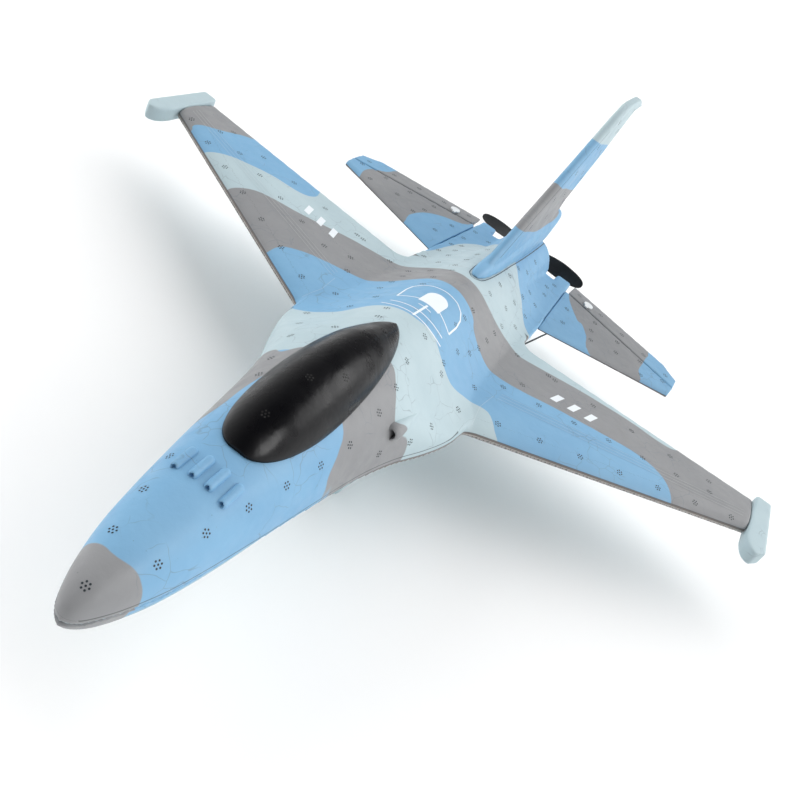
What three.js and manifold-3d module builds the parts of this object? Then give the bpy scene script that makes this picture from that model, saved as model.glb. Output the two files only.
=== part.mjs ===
// Twin-tone camouflage foam jet model, 452 mm span, one rear-mounted pusher propeller.
//
// Units are millimetres. The row frame has +X towards the left wing tip, -Y towards the nose and
// +Z up, with its origin under the middle of the bounding box, on the plane the belly rests on.
// Every piece is drawn in airframe coordinates: y = 0 at the wing root's leading edge and z = 0 on
// the wing's parting plane. One group at the end moves them all into the row frame.

import * as THREE from 'three';
import { mergeVertices } from 'three/addons/utils/BufferGeometryUtils.js';
import Module from 'manifold-3d';

const wasm = await Module();
wasm.setup();

// ---------------------------------------------------------------- driving dimensions

const NOSE_Y = -237;              // tip of the nose
const FIN_REAR_Y = 322;           // rearmost point of the fin's swept tip
const BELLY_DEPTH = 55;           // wing plane above the flat belly
const GAP = 0.3;                  // between pieces that are glued or laid together

const WING = {
  rootX: 55,                      // leading edge leaves the strake here, at y = 0
  tipX: 212,
  tipLeadY: 95.5,
  rootTrailX: 45.5,
  rootTrailY: 125.5,
  filletX: 54,                    // the trailing edge curves from here into the fuselage
  filletY: 119,
  tipTrailY: 134,
  innerX: 38,                     // the spar box runs this far into the fuselage
  edge: 1,                        // half thickness of the trailing edge
};

const DECK = {
  stabFrontX: 44.5,               // deck edge where the stabiliser begins
  stabFrontY: 165,
  shelfX: 39.6,                   // outer rear corner of the side shelf
  shelfInnerX: 28,
  endY: 256.5,                    // rear end of the side shelves
  notchY: 243,                    // front end of the slot between shelf and nozzle
};

const NOZZLE = { z: -7.5, radius: 20, bore: 15, endY: 254, boreY: 214 };

const CANOPY = { frontY: -154, widestY: -104, rearY: -19.5, halfWidth: 18.6, rise: 12 };

const BAY = { halfWidth: 12.5, frontY: -134, rearY: -52, floorZ: -17 };

const STAB = {
  rootLeadY: 165,
  tipX: 140.5,
  tipLeadY: 211,
  tipTrailY: 240,
  rootTrailY: 258.5,
  rootZ: -6,                      // mid-plane at the root
  tipZ: -11.5,                    // mid-plane at the tip: slight droop
  rootThick: 5.4,
  tipThick: 4.2,
  cornerX: 127,
};
const HINGE = { innerX: 42.6, innerY: 237.6, outerX: 140.5, outerY: 223.4, slot: 0.5 };
const ELEVATOR_INNER_X = 43.2;

const HORN = { x: 58.5, reach: 15.5, thick: 1.2, holeRadius: 1.1 };
const SERVO = {
  shaftX: 30.1,                   // plane that the arm swings in
  shaftY: 124,
  shaftZ: -13,
  length: 20,
  width: 8.6,
  height: 16,
  earSpan: 28,
  earThick: 1.6,
  earX: -6,                       // ears and case face, behind the plane the arm swings in
  faceX: -2.6,
};
const SCREW = { holeRadius: 1.1, shankRadius: 0.8, headRadius: 1.5 };
const ROD_RADIUS = 0.6;

const MOTOR = { radius: 8, length: 24, rearY: 246, shaftRadius: 1 };
const PROP = { y: 274, radius: 46, hubRadius: 4.2, hubLength: 8 };

// ---------------------------------------------------------------- materials

const FOAM_ROUGHNESS = 0.72;

function material(color, roughness, metalness = 0) {
  return new THREE.MeshStandardMaterial({ color, roughness, metalness });
}

const SKY = material(0x86b7dc, FOAM_ROUGHNESS);
const ICE = material(0xbcd3da, FOAM_ROUGHNESS);
const GREY = material(0x9a9b9e, FOAM_ROUGHNESS);
const BLACK_FOAM = material(0x161719, 0.42);
const BLACK_PLASTIC = material(0x101112, 0.38);
const WHITE_PLASTIC = material(0xe9ebec, 0.45);
const STEEL = material(0x9a9ca0, 0.32, 0.9);
const CARBON = material(0x1b1c1e, 0.5);
const WRAP = material(0x2f6fb5, 0.4);
const BOARD = material(0x1f5d43, 0.55);
const CABLE = material(0x8c1f1f, 0.5);
const FOAM_PAD = material(0x4a4c50, 0.9);

// ---------------------------------------------------------------- helpers

// Smooth value along a length. Stations are [position, value] pairs joined by cubic pieces.
function along(stations) {
  const last = stations.length - 1;
  const slopes = stations.map((station, i) => {
    const before = stations[Math.max(i - 1, 0)];
    const after = stations[Math.min(i + 1, last)];
    return (after[1] - before[1]) / (after[0] - before[0]);
  });
  return (position) => {
    const p = THREE.MathUtils.clamp(position, stations[0][0], stations[last][0]);
    let i = 0;
    while (i < last - 1 && p > stations[i + 1][0]) i += 1;
    const [p0, v0] = stations[i];
    const [p1, v1] = stations[i + 1];
    const run = p1 - p0;
    const t = (p - p0) / run;
    const t2 = t * t;
    const t3 = t2 * t;
    return (2 * t3 - 3 * t2 + 1) * v0 + (t3 - 2 * t2 + t) * run * slopes[i]
      + (3 * t2 - 2 * t3) * v1 + (t3 - t2) * run * slopes[i + 1];
  };
}

function mix(a, b, t) {
  return a + (b - a) * t;
}

function spread(from, to, count) {
  return Array.from({ length: count + 1 }, (_, i) => mix(from, to, i / count));
}

// Closed solid through a row of rings that all have the same number of points. Both end rings are
// capped, and the whole is turned so that its faces point out.
function loft(rings) {
  const count = rings[0].length;
  const positions = rings.flat().flatMap((p) => [p.x, p.y, p.z]);
  const triangles = [];
  for (let r = 0; r < rings.length - 1; r += 1) {
    for (let i = 0; i < count; i += 1) {
      const j = (i + 1) % count;
      const a = r * count + i;
      const b = r * count + j;
      triangles.push([a, b, b + count], [a, b + count, a + count]);
    }
  }
  triangles.push(...cap(rings[0], 0).map(([a, b, c]) => [a, c, b]));
  triangles.push(...cap(rings[rings.length - 1], (rings.length - 1) * count));
  const geometry = new THREE.BufferGeometry();
  geometry.setAttribute('position', new THREE.Float32BufferAttribute(positions, 3));
  geometry.setIndex(triangles.flat());
  return outward(geometry);
}

// Triangles over one ring, wound so that they close the side faces that loft draws towards it.
function cap(ring, offset) {
  const normal = new THREE.Vector3();
  ring.forEach((p, i) => {
    const q = ring[(i + 1) % ring.length];
    normal.add(new THREE.Vector3().crossVectors(p, q));
  });
  const size = [Math.abs(normal.x), Math.abs(normal.y), Math.abs(normal.z)];
  const drop = size.indexOf(Math.max(...size));
  const keep = [0, 1, 2].filter((axis) => axis !== drop);
  const flat = ring.map((p) => {
    const values = p.toArray();
    return new THREE.Vector2(values[keep[0]], values[keep[1]]);
  });
  const wound = THREE.ShapeUtils.area(flat) > 0;
  return THREE.ShapeUtils.triangulateShape(flat, []).map(([a, b, c]) => {
    const ordered = signedArea(flat[a], flat[b], flat[c]) > 0 === wound ? [a, b, c] : [a, c, b];
    return ordered.map((i) => i + offset);
  });
}

function signedArea(a, b, c) {
  return (b.x - a.x) * (c.y - a.y) - (c.x - a.x) * (b.y - a.y);
}

function volume(geometry) {
  const p = geometry.attributes.position;
  const index = geometry.index;
  const corner = [new THREE.Vector3(), new THREE.Vector3(), new THREE.Vector3()];
  let total = 0;
  for (let t = 0; t < index.count; t += 3) {
    corner.forEach((c, k) => c.fromBufferAttribute(p, index.getX(t + k)));
    total += corner[0].dot(new THREE.Vector3().crossVectors(corner[1], corner[2])) / 6;
  }
  return total;
}

function outward(geometry) {
  if (volume(geometry) < 0) {
    const index = geometry.index;
    for (let t = 0; t < index.count; t += 3) {
      const kept = index.getX(t + 1);
      index.setX(t + 1, index.getX(t + 2));
      index.setX(t + 2, kept);
    }
  }
  return geometry;
}

function toSolid(geometry) {
  const bare = geometry.clone();
  bare.deleteAttribute('normal');
  bare.deleteAttribute('uv');
  const merged = mergeVertices(bare, 1e-4);
  return new wasm.Manifold(new wasm.Mesh({
    numProp: 3,
    vertProperties: new Float32Array(merged.attributes.position.array),
    triVerts: new Uint32Array(merged.index.array),
  }));
}

function toGeometry(solid) {
  const mesh = solid.getMesh();
  const geometry = new THREE.BufferGeometry();
  geometry.setAttribute('position', new THREE.Float32BufferAttribute(mesh.vertProperties, 3));
  geometry.setIndex(new THREE.Uint32BufferAttribute(mesh.triVerts, 1));
  return geometry;
}

// The first geometry with the others joined on and the cutters taken away.
function carve(base, { add = [], cut = [] }) {
  let solid = toSolid(base);
  for (const piece of add) solid = solid.add(toSolid(piece));
  for (const piece of cut) solid = solid.subtract(toSolid(piece));
  return toGeometry(solid);
}

// Box between two opposite corners.
function block(low, high) {
  const size = high.map((value, i) => value - low[i]);
  const box = new THREE.BoxGeometry(...size);
  return box.translate(...low.map((value, i) => value + size[i] / 2));
}

// Cylinder along Y between two stations.
function rodAlongY(radius, fromY, toY, x, z, sides = 24) {
  const rod = new THREE.CylinderGeometry(radius, radius, toY - fromY, sides);
  return rod.translate(x, (fromY + toY) / 2, z);
}

// Cylinder along X between two stations.
function rodAlongX(radius, fromX, toX, y, z, sides = 24) {
  const rod = new THREE.CylinderGeometry(radius, radius, toX - fromX, sides);
  return rod.rotateZ(Math.PI / 2).translate((fromX + toX) / 2, y, z);
}

// Round wire through hand-chosen points.
function wire(points, radius, steps, sides = 8) {
  const section = new THREE.Shape(
    Array.from({ length: sides }, (_, i) => {
      const angle = (2 * Math.PI * i) / sides;
      return new THREE.Vector2(radius * Math.cos(angle), radius * Math.sin(angle));
    }),
  );
  const path = new THREE.CatmullRomCurve3(points, false, 'catmullrom', 0.1);
  return new THREE.ExtrudeGeometry(section, { steps, bevelEnabled: false, extrudePath: path });
}

// The same piece on the other side: x is negated and the faces are turned back out.
function mirrored(geometry) {
  const copy = geometry.clone();
  copy.scale(-1, 1, 1);
  if (copy.index === null) copy.setIndex([...Array(copy.attributes.position.count).keys()]);
  return outward(copy);
}

function node(name, geometry, look) {
  const mesh = new THREE.Mesh(geometry, look);
  mesh.name = name;
  return mesh;
}

// ---------------------------------------------------------------- fuselage shape

// Half width of the upper moulding at its edge, from the nose to the wing root.
const strakeHalfWidth = along([
  [NOSE_Y, 0.8], [-235, 4.2], [-229, 7.8], [-218, 12.2], [-198, 17.6], [-158, 24], [-118, 29.2],
  [-98, 31.9], [-78, 35.3], [-58, 40.4], [-38, 47.6], [-18, 53.2], [0, 55],
]);

function halfWidth(y) {
  if (y <= 0) return strakeHalfWidth(y);
  if (y <= WING.rootTrailY) return mix(WING.rootX, WING.rootTrailX, y / WING.rootTrailY);
  if (y <= DECK.stabFrontY) {
    const t = (y - WING.rootTrailY) / (DECK.stabFrontY - WING.rootTrailY);
    return mix(WING.rootTrailX, DECK.stabFrontX, t);
  }
  return mix(DECK.stabFrontX, DECK.shelfX, (y - DECK.stabFrontY) / (DECK.endY - DECK.stabFrontY));
}

// Height of the spine.
const spineHeight = along([
  [NOSE_Y, 2], [-236, 6], [-226, 13.5], [-200, 21.5], [-150, 30], [-100, 36], [-60, 38.5],
  [-20, 37], [40, 31], [110, 24], [170, 18], [254, 12.5],
]);

// Height of the moulding's edge.
const edgeHeight = along([[NOSE_Y, 1.2], [-20, 1.6], [15, 5.2], [60, 4.8], [125, 0.8], [165, -3],
  [DECK.endY, -3.6]]);

// Underside of the upper moulding, which the lower one is glued to.
const partingHeight = along([
  [NOSE_Y, 0], [-150, -0.5], [-60, -2.5], [0, -3], [110, -3], [160, -9], [DECK.endY, -9],
]);

// Share of the bell-shaped section: none at the nose, all of it between the wings.
const bellShare = along([[-130, 0], [-60, 0.18], [-20, 0.75], [20, 1], [200, 1]]);

// Share of the round nozzle section at the tail.
const nozzleShare = along([[170, 0], [235, 0.85], [NOZZLE.endY, 1]]);

const NOSE_POWER = 2.4;

function deckHeight(x, y) {
  const t = Math.min(Math.abs(x) / halfWidth(y), 1);
  const low = edgeHeight(y);
  const high = spineHeight(y);
  const dome = (1 - t ** NOSE_POWER) ** (1 / NOSE_POWER);
  const bell = Math.cos((Math.PI / 2) * t) ** 2;
  const blend = low + (high - low) * mix(dome, bell, bellShare(y));
  const share = nozzleShare(y);
  if (share <= 0) return blend;
  const inside = Math.max(NOZZLE.radius ** 2 - x * x, 0);
  const round = Math.max(NOZZLE.z + Math.sqrt(inside), low);
  return mix(blend, round, share);
}

const COLUMNS = 22;               // facets across the upper moulding

function deckRing(y, lift = 0, reach = 1) {
  const half = halfWidth(y) * reach;
  const top = spread(-1, 1, COLUMNS).map((t) => {
    const x = half * Math.sin((Math.PI / 2) * t);
    return new THREE.Vector3(x, y, deckHeight(x, y) + lift);
  });
  return top;
}

const DECK_STATIONS = [
  NOSE_Y, -236.2, -234, -229, -220, -206, -186, -165, -145, -125, -105, -85, -68, -52, -38, -25,
  -12, 0, 15, 35, 60, 85, 105, 125.5, 145, 165, 185, 205, 225, 240, 250, DECK.endY,
];

// ---------------------------------------------------------------- upper moulding

function wingLeadY(x) {
  return mix(0, WING.tipLeadY, (x - WING.rootX) / (WING.tipX - WING.rootX));
}

function wingTrailY(x) {
  const straight = mix(
    WING.filletY, WING.tipTrailY, (x - WING.filletX) / (WING.tipX - WING.filletX),
  );
  const reach = Math.max(WING.filletX - x, 0) / (WING.filletX - WING.rootTrailX);
  return straight + (WING.rootTrailY - WING.filletY) * Math.min(reach, 1) ** 2;
}

const WING_TOP = { root: 6.4, tip: 4.4 };
const WING_BOTTOM = { root: 3, tip: 2.2 };
const CREST = 0.28;               // chord fraction of the thickest point
const UNDER_FLAT = 0.03;          // chord fraction where the underside turns flat

function wingTop(c, high) {
  if (c < CREST) return high * Math.sqrt(1 - (1 - c / CREST) ** 2);
  return mix(high, WING.edge, ((c - CREST) / (1 - CREST)) ** 1.4);
}

function wingBottom(c, low) {
  if (c < UNDER_FLAT) return -low * Math.sqrt(1 - (1 - c / UNDER_FLAT) ** 2);
  return -mix(low, WING.edge, (c - UNDER_FLAT) / (1 - UNDER_FLAT));
}

function wingRing(x) {
  const t = (x - WING.rootX) / (WING.tipX - WING.rootX);
  const lead = wingLeadY(x);
  const chord = wingTrailY(x) - lead;
  const high = mix(WING_TOP.root, WING_TOP.tip, t);
  const low = mix(WING_BOTTOM.root, WING_BOTTOM.tip, t);
  const upper = [1, 0.8, 0.6, 0.42, 0.28, 0.18, 0.1, 0.05, 0.02, 0];
  const lower = [0.004, 0.015, UNDER_FLAT, 0.5, 1];
  return [
    ...upper.map((c) => new THREE.Vector3(x, lead + c * chord, wingTop(c, high))),
    ...lower.map((c) => new THREE.Vector3(x, lead + c * chord, wingBottom(c, low))),
  ];
}

function wingPanel() {
  const fillet = spread(WING.rootTrailX, WING.filletX, 3);
  return loft([WING.innerX, ...fillet, WING.rootX, WING.tipX].map(wingRing));
}

function upperBody() {
  return loft(DECK_STATIONS.map((y) => {
    const top = deckRing(y);
    const low = partingHeight(y);
    const first = top[0];
    const last = top[top.length - 1];
    return [...top, new THREE.Vector3(last.x, y, low), new THREE.Vector3(first.x, y, low)];
  }));
}

const SPAR = { y: 76, halfSpan: 158, radius: 1.5 };

function sparSlot() {
  return block(
    [-SPAR.halfSpan - GAP, SPAR.y - SPAR.radius - GAP, -BELLY_DEPTH],
    [SPAR.halfSpan + GAP, SPAR.y + SPAR.radius + GAP, -3 + 2 * SPAR.radius + GAP],
  );
}

// Slots that leave the side shelves standing free of the nozzle, as on the full-size jet.
function shelfNotches() {
  return [1, -1].map((side) => {
    const near = side * (NOZZLE.radius + 0.4);
    const far = side * DECK.shelfInnerX;
    return block(
      [Math.min(near, far), DECK.notchY, -30],
      [Math.max(near, far), DECK.endY + 1, 20],
    );
  });
}

function nozzleTrim() {
  return block([-NOZZLE.radius - 0.4, NOZZLE.endY, -40], [NOZZLE.radius + 0.4, DECK.endY + 1, 40]);
}

function nozzleBore() {
  return rodAlongY(NOZZLE.bore, NOZZLE.boreY, DECK.endY + 1, 0, NOZZLE.z, 32);
}

const BAY_CORNER = 7;

// Round-cornered well under the canopy, from one height to another, grown or shrunk all round.
function bayWell(lowZ, highZ, grow = 0) {
  const half = BAY.halfWidth + grow;
  const front = BAY.frontY - grow;
  const rear = BAY.rearY + grow;
  const corner = BAY_CORNER + grow;
  const outline = new THREE.Shape();
  outline.moveTo(-half + corner, front);
  outline.absarc(half - corner, front + corner, corner, -Math.PI / 2, 0, false);
  outline.absarc(half - corner, rear - corner, corner, 0, Math.PI / 2, false);
  outline.absarc(-half + corner, rear - corner, corner, Math.PI / 2, Math.PI, false);
  outline.absarc(-half + corner, front + corner, corner, Math.PI, 1.5 * Math.PI, false);
  const well = new THREE.ExtrudeGeometry(outline, {
    depth: highZ - lowZ, bevelEnabled: false, curveSegments: 5,
  });
  return well.translate(0, 0, lowZ);
}

const CABLE_TUNNEL = { halfWidth: 5, depth: 5 };

const MAGNET = { radius: 3, height: 2, frontY: -143, rearY: -38 };

// Cylinder along Z between two heights.
function rodAlongZ(radius, lowZ, highZ, x, y, sides = 20) {
  const rod = new THREE.CylinderGeometry(radius, radius, highZ - lowZ, sides);
  return rod.rotateX(Math.PI / 2).translate(x, y, (lowZ + highZ) / 2);
}

function magnetTopZ(y) {
  return deckHeight(MAGNET.radius, y) - GAP;
}

function magnetPockets() {
  return [MAGNET.frontY, MAGNET.rearY].map((y) => {
    const top = magnetTopZ(y);
    return rodAlongZ(MAGNET.radius + GAP, top - MAGNET.height - GAP, top + 20, 0, y);
  });
}

function upperMoulding() {
  const wing = wingPanel();
  return carve(upperBody(), {
    add: [wing, mirrored(wing), ...nosePipes(), ...gunScoop()],
    cut: [
      sparSlot(), ...shelfNotches(), nozzleTrim(), nozzleBore(), bayWell(-20, 60),
      ...magnetPockets(), scoopHole(),
    ],
  });
}

// Four short raised ribs on top of the nose, each with a round open front.
const PIPE = { frontY: -176, rearY: -162.5, pitch: 7.4, radius: 2.1, count: 4 };

function nosePipes() {
  return Array.from({ length: PIPE.count }, (_, i) => {
    const x = (i - (PIPE.count - 1) / 2) * PIPE.pitch;
    const frontZ = deckHeight(x, PIPE.frontY);
    const rearZ = deckHeight(x, PIPE.rearY);
    const length = Math.hypot(PIPE.rearY - PIPE.frontY, rearZ - frontZ);
    const pipe = new THREE.CapsuleGeometry(PIPE.radius, length - 2 * PIPE.radius, 3, 10);
    pipe.rotateX(Math.atan2(rearZ - frontZ, PIPE.rearY - PIPE.frontY));
    return pipe.translate(x, (PIPE.frontY + PIPE.rearY) / 2, (frontZ + rearZ) / 2);
  });
}

// Gun port fairing on the left strake: a teardrop that opens forwards.
const SCOOP = { x: 33.5, frontY: -69, rearY: -37, radius: 4.2 };

function gunScoop() {
  const frontZ = deckHeight(SCOOP.x, SCOOP.frontY) + 0.5;
  const rearZ = deckHeight(SCOOP.x, SCOOP.rearY) - 1.5;
  const stations = [0, 0.06, 0.2, 0.45, 0.75, 1];
  const radii = [0.75, 1, 0.98, 0.75, 0.4, 0.08];
  return [loft(stations.map((t, i) => {
    const centre = new THREE.Vector3(
      SCOOP.x + 1.5 * t, mix(SCOOP.frontY, SCOOP.rearY, t), mix(frontZ, rearZ, t),
    );
    return Array.from({ length: 12 }, (_, k) => {
      const angle = (2 * Math.PI * k) / 12;
      const r = SCOOP.radius * radii[i];
      return new THREE.Vector3(
        centre.x + r * Math.cos(angle), centre.y, centre.z + r * Math.sin(angle),
      );
    });
  }))];
}

function scoopHole() {
  const z = deckHeight(SCOOP.x, SCOOP.frontY) + 0.6;
  return rodAlongY(2.3, SCOOP.frontY - 6, SCOOP.frontY + 7, SCOOP.x, z, 14);
}

// ---------------------------------------------------------------- lower moulding

const BELLY = {
  frontY: -58,
  halfWidth: 27,
  corner: 14,
  flatEndY: 125,                  // the flat resting face ends here and the tail rises behind it
  lipRake: 0.3,                   // the intake's lower lip stands behind its upper lip
};
const CHIN = { width: 28, lip: 1.2, inset: 1.5, power: 2.2, facets: 16 };

// Half width of the chin under the nose: the nose's own width, held to CHIN.width further aft.
function chinHalfWidth(y) {
  return (halfWidth(y) ** -8 + CHIN.width ** -8) ** (-1 / 8);
}

const chinBottom = along([[NOSE_Y, -2.2], [-234, -5.5], [-225, -11.5], [-205, -17.5], [-175, -22.5],
  [-130, -27], [-80, -30], [-30, -31]]);

const CHIN_STATIONS = [NOSE_Y, -236.2, -234, -229, -220, -206, -186, -165, -145, -125, -105, -85,
  -68, -52, -38, -30];
// Straight lip under the parting line, then a rounded chin drawn in from it.
function chinRing(y) {
  const top = partingHeight(y) - GAP;
  const half = chinHalfWidth(y);
  const under = top - CHIN.lip;
  const inner = Math.max(half - CHIN.inset, 0.6 * half);
  const depth = Math.max(under - chinBottom(y), 0.4);
  const arc = spread(0, Math.PI, CHIN.facets).map((angle) => {
    const c = Math.cos(angle);
    const s = Math.sin(angle);
    const x = inner * Math.sign(c) * Math.abs(c) ** (2 / CHIN.power);
    return new THREE.Vector3(x, y, under - depth * s ** (2 / CHIN.power));
  });
  const lip = [[-half, under + 0.1], [-half, top], [half, top], [half, under + 0.1]];
  return [...lip.map(([x, z]) => new THREE.Vector3(x, y, z)), ...arc];
}

function ease(t) {
  const k = THREE.MathUtils.clamp(t, 0, 1);
  return k * k * (3 - 2 * k);
}

function bellyShape(y) {
  const t = ease((y - BELLY.flatEndY) / (NOZZLE.endY - BELLY.flatEndY));
  const top = partingHeight(y) - GAP;
  const bottom = mix(-BELLY_DEPTH, NOZZLE.z - NOZZLE.radius, t);
  const front = ease((BELLY.frontY + 40 - y) / 40);
  return {
    top,
    bottom,
    half: mix(BELLY.halfWidth, NOZZLE.radius, t) - 2 * front,
    corner: Math.min(mix(BELLY.corner, NOZZLE.radius, t), top - bottom - 0.1),
    rake: BELLY.lipRake * front,
  };
}

const CORNER_FACETS = 6;

function bellyRing(y, shrink = 0) {
  const { top, bottom, half, corner, rake } = bellyShape(y);
  const radius = Math.max(corner - shrink, 1);
  const side = half - shrink;
  const floor = bottom + shrink;
  const arcs = [[1, 0], [-1, 1]].flatMap(([sign, flip]) => (
    spread(0, Math.PI / 2, CORNER_FACETS).map((_, i) => {
      const k = flip ? CORNER_FACETS - i : i;
      const angle = (Math.PI / 2) * (k / CORNER_FACETS);
      return [sign * (side - radius + radius * Math.cos(angle)),
        floor + radius - radius * Math.sin(angle)];
    })
  ));
  const outline = [[-side, top], [side, top], ...arcs];
  return outline.map(([x, z]) => new THREE.Vector3(x, y + rake * (top - z), z));
}

const BELLY_STATIONS = [BELLY.frontY, -50, -38, -28, -18, 110, BELLY.flatEndY, 140, 155, 170, 185,
  200, 215, 230, 243, NOZZLE.endY];

const MOUTH = { wall: 4, topZ: -34, depth: 34 };

// Air intake pocket: the belly's own outline drawn in by the wall, cut off below the chin.
function intakeMouth() {
  const rear = BELLY.frontY + MOUTH.depth;
  const rings = [BELLY.frontY - 20, BELLY.frontY, rear].map((y) => {
    const near = Math.max(y, BELLY.frontY);
    return bellyRing(near, MOUTH.wall).map((p) => (
      new THREE.Vector3(p.x, y, Math.min(p.z, MOUTH.topZ))
    ));
  });
  return loft(rings);
}

function electronicsPocket() {
  return block([-11.5, -58, BAY.floorZ], [11.5, -8, 5]);
}

function cableTunnel() {
  return block(
    [-CABLE_TUNNEL.halfWidth, -10, -9 - CABLE_TUNNEL.depth],
    [CABLE_TUNNEL.halfWidth, NOZZLE.boreY + 2, 5],
  );
}

const SERVO_BRANCH = { frontY: 121, rearY: 130 };

function servoBranches() {
  return block(
    [-16, SERVO_BRANCH.frontY, -9 - CABLE_TUNNEL.depth],
    [16, SERVO_BRANCH.rearY, 5],
  );
}

function lowerMoulding() {
  return carve(loft(CHIN_STATIONS.map(chinRing)), {
    add: [loft(BELLY_STATIONS.map((y) => bellyRing(y)))],
    cut: [
      intakeMouth(), bayWell(BAY.floorZ, 20), electronicsPocket(), cableTunnel(),
      servoBranches(), nozzleBore(), servoPocket(), mirrored(servoPocket()),
    ],
  });
}

// ---------------------------------------------------------------- canopy

function canopyHalfWidth(y) {
  if (y < CANOPY.widestY) {
    const t = (CANOPY.widestY - y) / (CANOPY.widestY - CANOPY.frontY);
    return CANOPY.halfWidth * Math.max(1 - t * t, 0) ** 0.38;
  }
  const t = (y - CANOPY.widestY) / (CANOPY.rearY - CANOPY.widestY);
  return CANOPY.halfWidth * Math.max(1 - t * t, 0) ** 0.62;
}

// Height of the bubble above the deck, along the middle.
const canopyRise = along([[CANOPY.frontY, 0.6], [-148, 5], [-132, 9.5], [-100, CANOPY.rise],
  [-62, 8.5], [-35, 3.2], [CANOPY.rearY, 0.6]]);

const CANOPY_COLUMNS = 12;
const CANOPY_FULLNESS = 0.6;
const CANOPY_STATIONS = [-153.5, -151.5, -147, -140, -130, -118, -104, -90, -76, -62, -50, -40,
  -31, -24, -20.3];

function canopyRing(y) {
  const half = canopyHalfWidth(y);
  const row = spread(-1, 1, CANOPY_COLUMNS).map((t) => Math.sin((Math.PI / 2) * t));
  const top = row.map((v) => {
    const x = v * half;
    const bulge = 0.8 + canopyRise(y) * (1 - v * v) ** CANOPY_FULLNESS;
    return new THREE.Vector3(x, y, deckHeight(x, y) + GAP + bulge);
  });
  const bottom = row.map((v) => {
    const x = v * half;
    return new THREE.Vector3(x, y, deckHeight(x, y) + GAP);
  });
  return [...top, ...bottom.reverse()];
}

// Slab that follows the deck between two offsets from it.
function deckSlab(fromY, toY, half, low, high) {
  const rows = Math.max(2, Math.round((toY - fromY) / 8));
  return loft(spread(fromY, toY, rows).map((y) => {
    const xs = spread(-half, half, 10);
    const top = xs.map((x) => new THREE.Vector3(x, y, deckHeight(x, y) + high));
    const bottom = xs.map((x) => new THREE.Vector3(x, y, Math.max(deckHeight(x, y) + low, -60)));
    return [...top, ...bottom.reverse()];
  }));
}

const PLUG = { depth: 5, clearance: 0.5 };

// The lip under the canopy that drops into the well and locates it.
function canopyPlug() {
  const column = toSolid(bayWell(-20, 70, -PLUG.clearance));
  const slab = deckSlab(BAY.frontY - 4, BAY.rearY + 4, 14, -PLUG.depth, 2);
  return toGeometry(column.intersect(toSolid(slab)));
}

function canopyMagnetPockets() {
  return [MAGNET.frontY, MAGNET.rearY].map((y) => {
    const bottom = magnetTopZ(y) + GAP;
    return rodAlongZ(MAGNET.radius + GAP, bottom - 8, bottom + MAGNET.height + GAP, 0, y);
  });
}

function canopyShell() {
  return carve(loft(CANOPY_STATIONS.map(canopyRing)), {
    add: [canopyPlug()],
    cut: canopyMagnetPockets(),
  });
}

function fuselageMagnet(y) {
  const top = magnetTopZ(y);
  return rodAlongZ(MAGNET.radius, top - MAGNET.height, top, 0, y);
}

function canopyMagnet(y) {
  const bottom = magnetTopZ(y) + GAP;
  return rodAlongZ(MAGNET.radius, bottom, bottom + MAGNET.height, 0, y);
}

// ---------------------------------------------------------------- wing tip rails and spar

const RAIL = {
  topZ: 4.5,
  bottomZ: -5,
  innerX: WING.tipX + GAP,
  outerX: 226,
  rearY: 137,
  frontY: 75,
  bevel: 1.4,
};

function tipRail() {
  const { innerX, outerX, rearY, frontY, bevel } = RAIL;
  const outline = new THREE.Shape();
  outline.moveTo(innerX + bevel, rearY - bevel);
  outline.lineTo(outerX - 3 - bevel, rearY + 0.5 - bevel);
  outline.lineTo(outerX - bevel, frontY + 7 + bevel);
  outline.lineTo(outerX - 5, frontY + bevel);
  outline.quadraticCurveTo(innerX + 1, frontY + bevel, innerX + bevel, frontY + 14);
  outline.closePath();
  const rail = new THREE.ExtrudeGeometry(outline, {
    depth: RAIL.topZ - RAIL.bottomZ - 2 * bevel,
    bevelThickness: bevel,
    bevelSize: bevel,
    bevelSegments: 2,
    curveSegments: 6,
  });
  return rail.translate(0, 0, RAIL.bottomZ + bevel);
}

function spar() {
  return rodAlongX(SPAR.radius, -SPAR.halfSpan, SPAR.halfSpan, SPAR.y, -3 + SPAR.radius, 16);
}

// ---------------------------------------------------------------- tail surfaces

function stabMidZ(x) {
  return mix(STAB.rootZ, STAB.tipZ, (x - DECK.stabFrontX) / (STAB.tipX - DECK.stabFrontX));
}

function stabThickness(x) {
  const t = (x - DECK.stabFrontX) / (STAB.tipX - DECK.stabFrontX);
  return mix(STAB.rootThick, STAB.tipThick, t);
}

function hingeY(x) {
  return mix(HINGE.innerY, HINGE.outerY, (x - HINGE.innerX) / (HINGE.outerX - HINGE.innerX));
}

// Ring of the fixed part: rounded leading edge, flat rear face just ahead of the hinge line.
function stabRing(t) {
  const rootLead = new THREE.Vector2(DECK.stabFrontX + GAP, STAB.rootLeadY);
  const rootRearX = halfWidth(HINGE.innerY) + GAP;
  const rootRear = new THREE.Vector2(rootRearX, hingeY(rootRearX) - HINGE.slot);
  const tipLead = new THREE.Vector2(STAB.tipX - 0.8, STAB.tipLeadY);
  const tipRear = new THREE.Vector2(STAB.tipX, hingeY(STAB.tipX) - HINGE.slot);
  const lead = rootLead.lerp(tipLead, t);
  const rear = rootRear.lerp(tipRear, t);
  const upper = [1, 0.6, 0.3, 0.14, 0.05, 0];
  const lower = [0.05, 0.14, 0.3, 0.6, 1];
  const point = (c, sign) => {
    const x = mix(lead.x, rear.x, c);
    const y = mix(lead.y, rear.y, c);
    const round = c < 0.3 ? Math.sqrt(1 - (1 - c / 0.3) ** 2) : 1;
    return new THREE.Vector3(x, y, stabMidZ(x) + sign * round * stabThickness(x) / 2);
  };
  return [...upper.map((c) => point(c, 1)), ...lower.map((c) => point(c, -1))];
}

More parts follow.
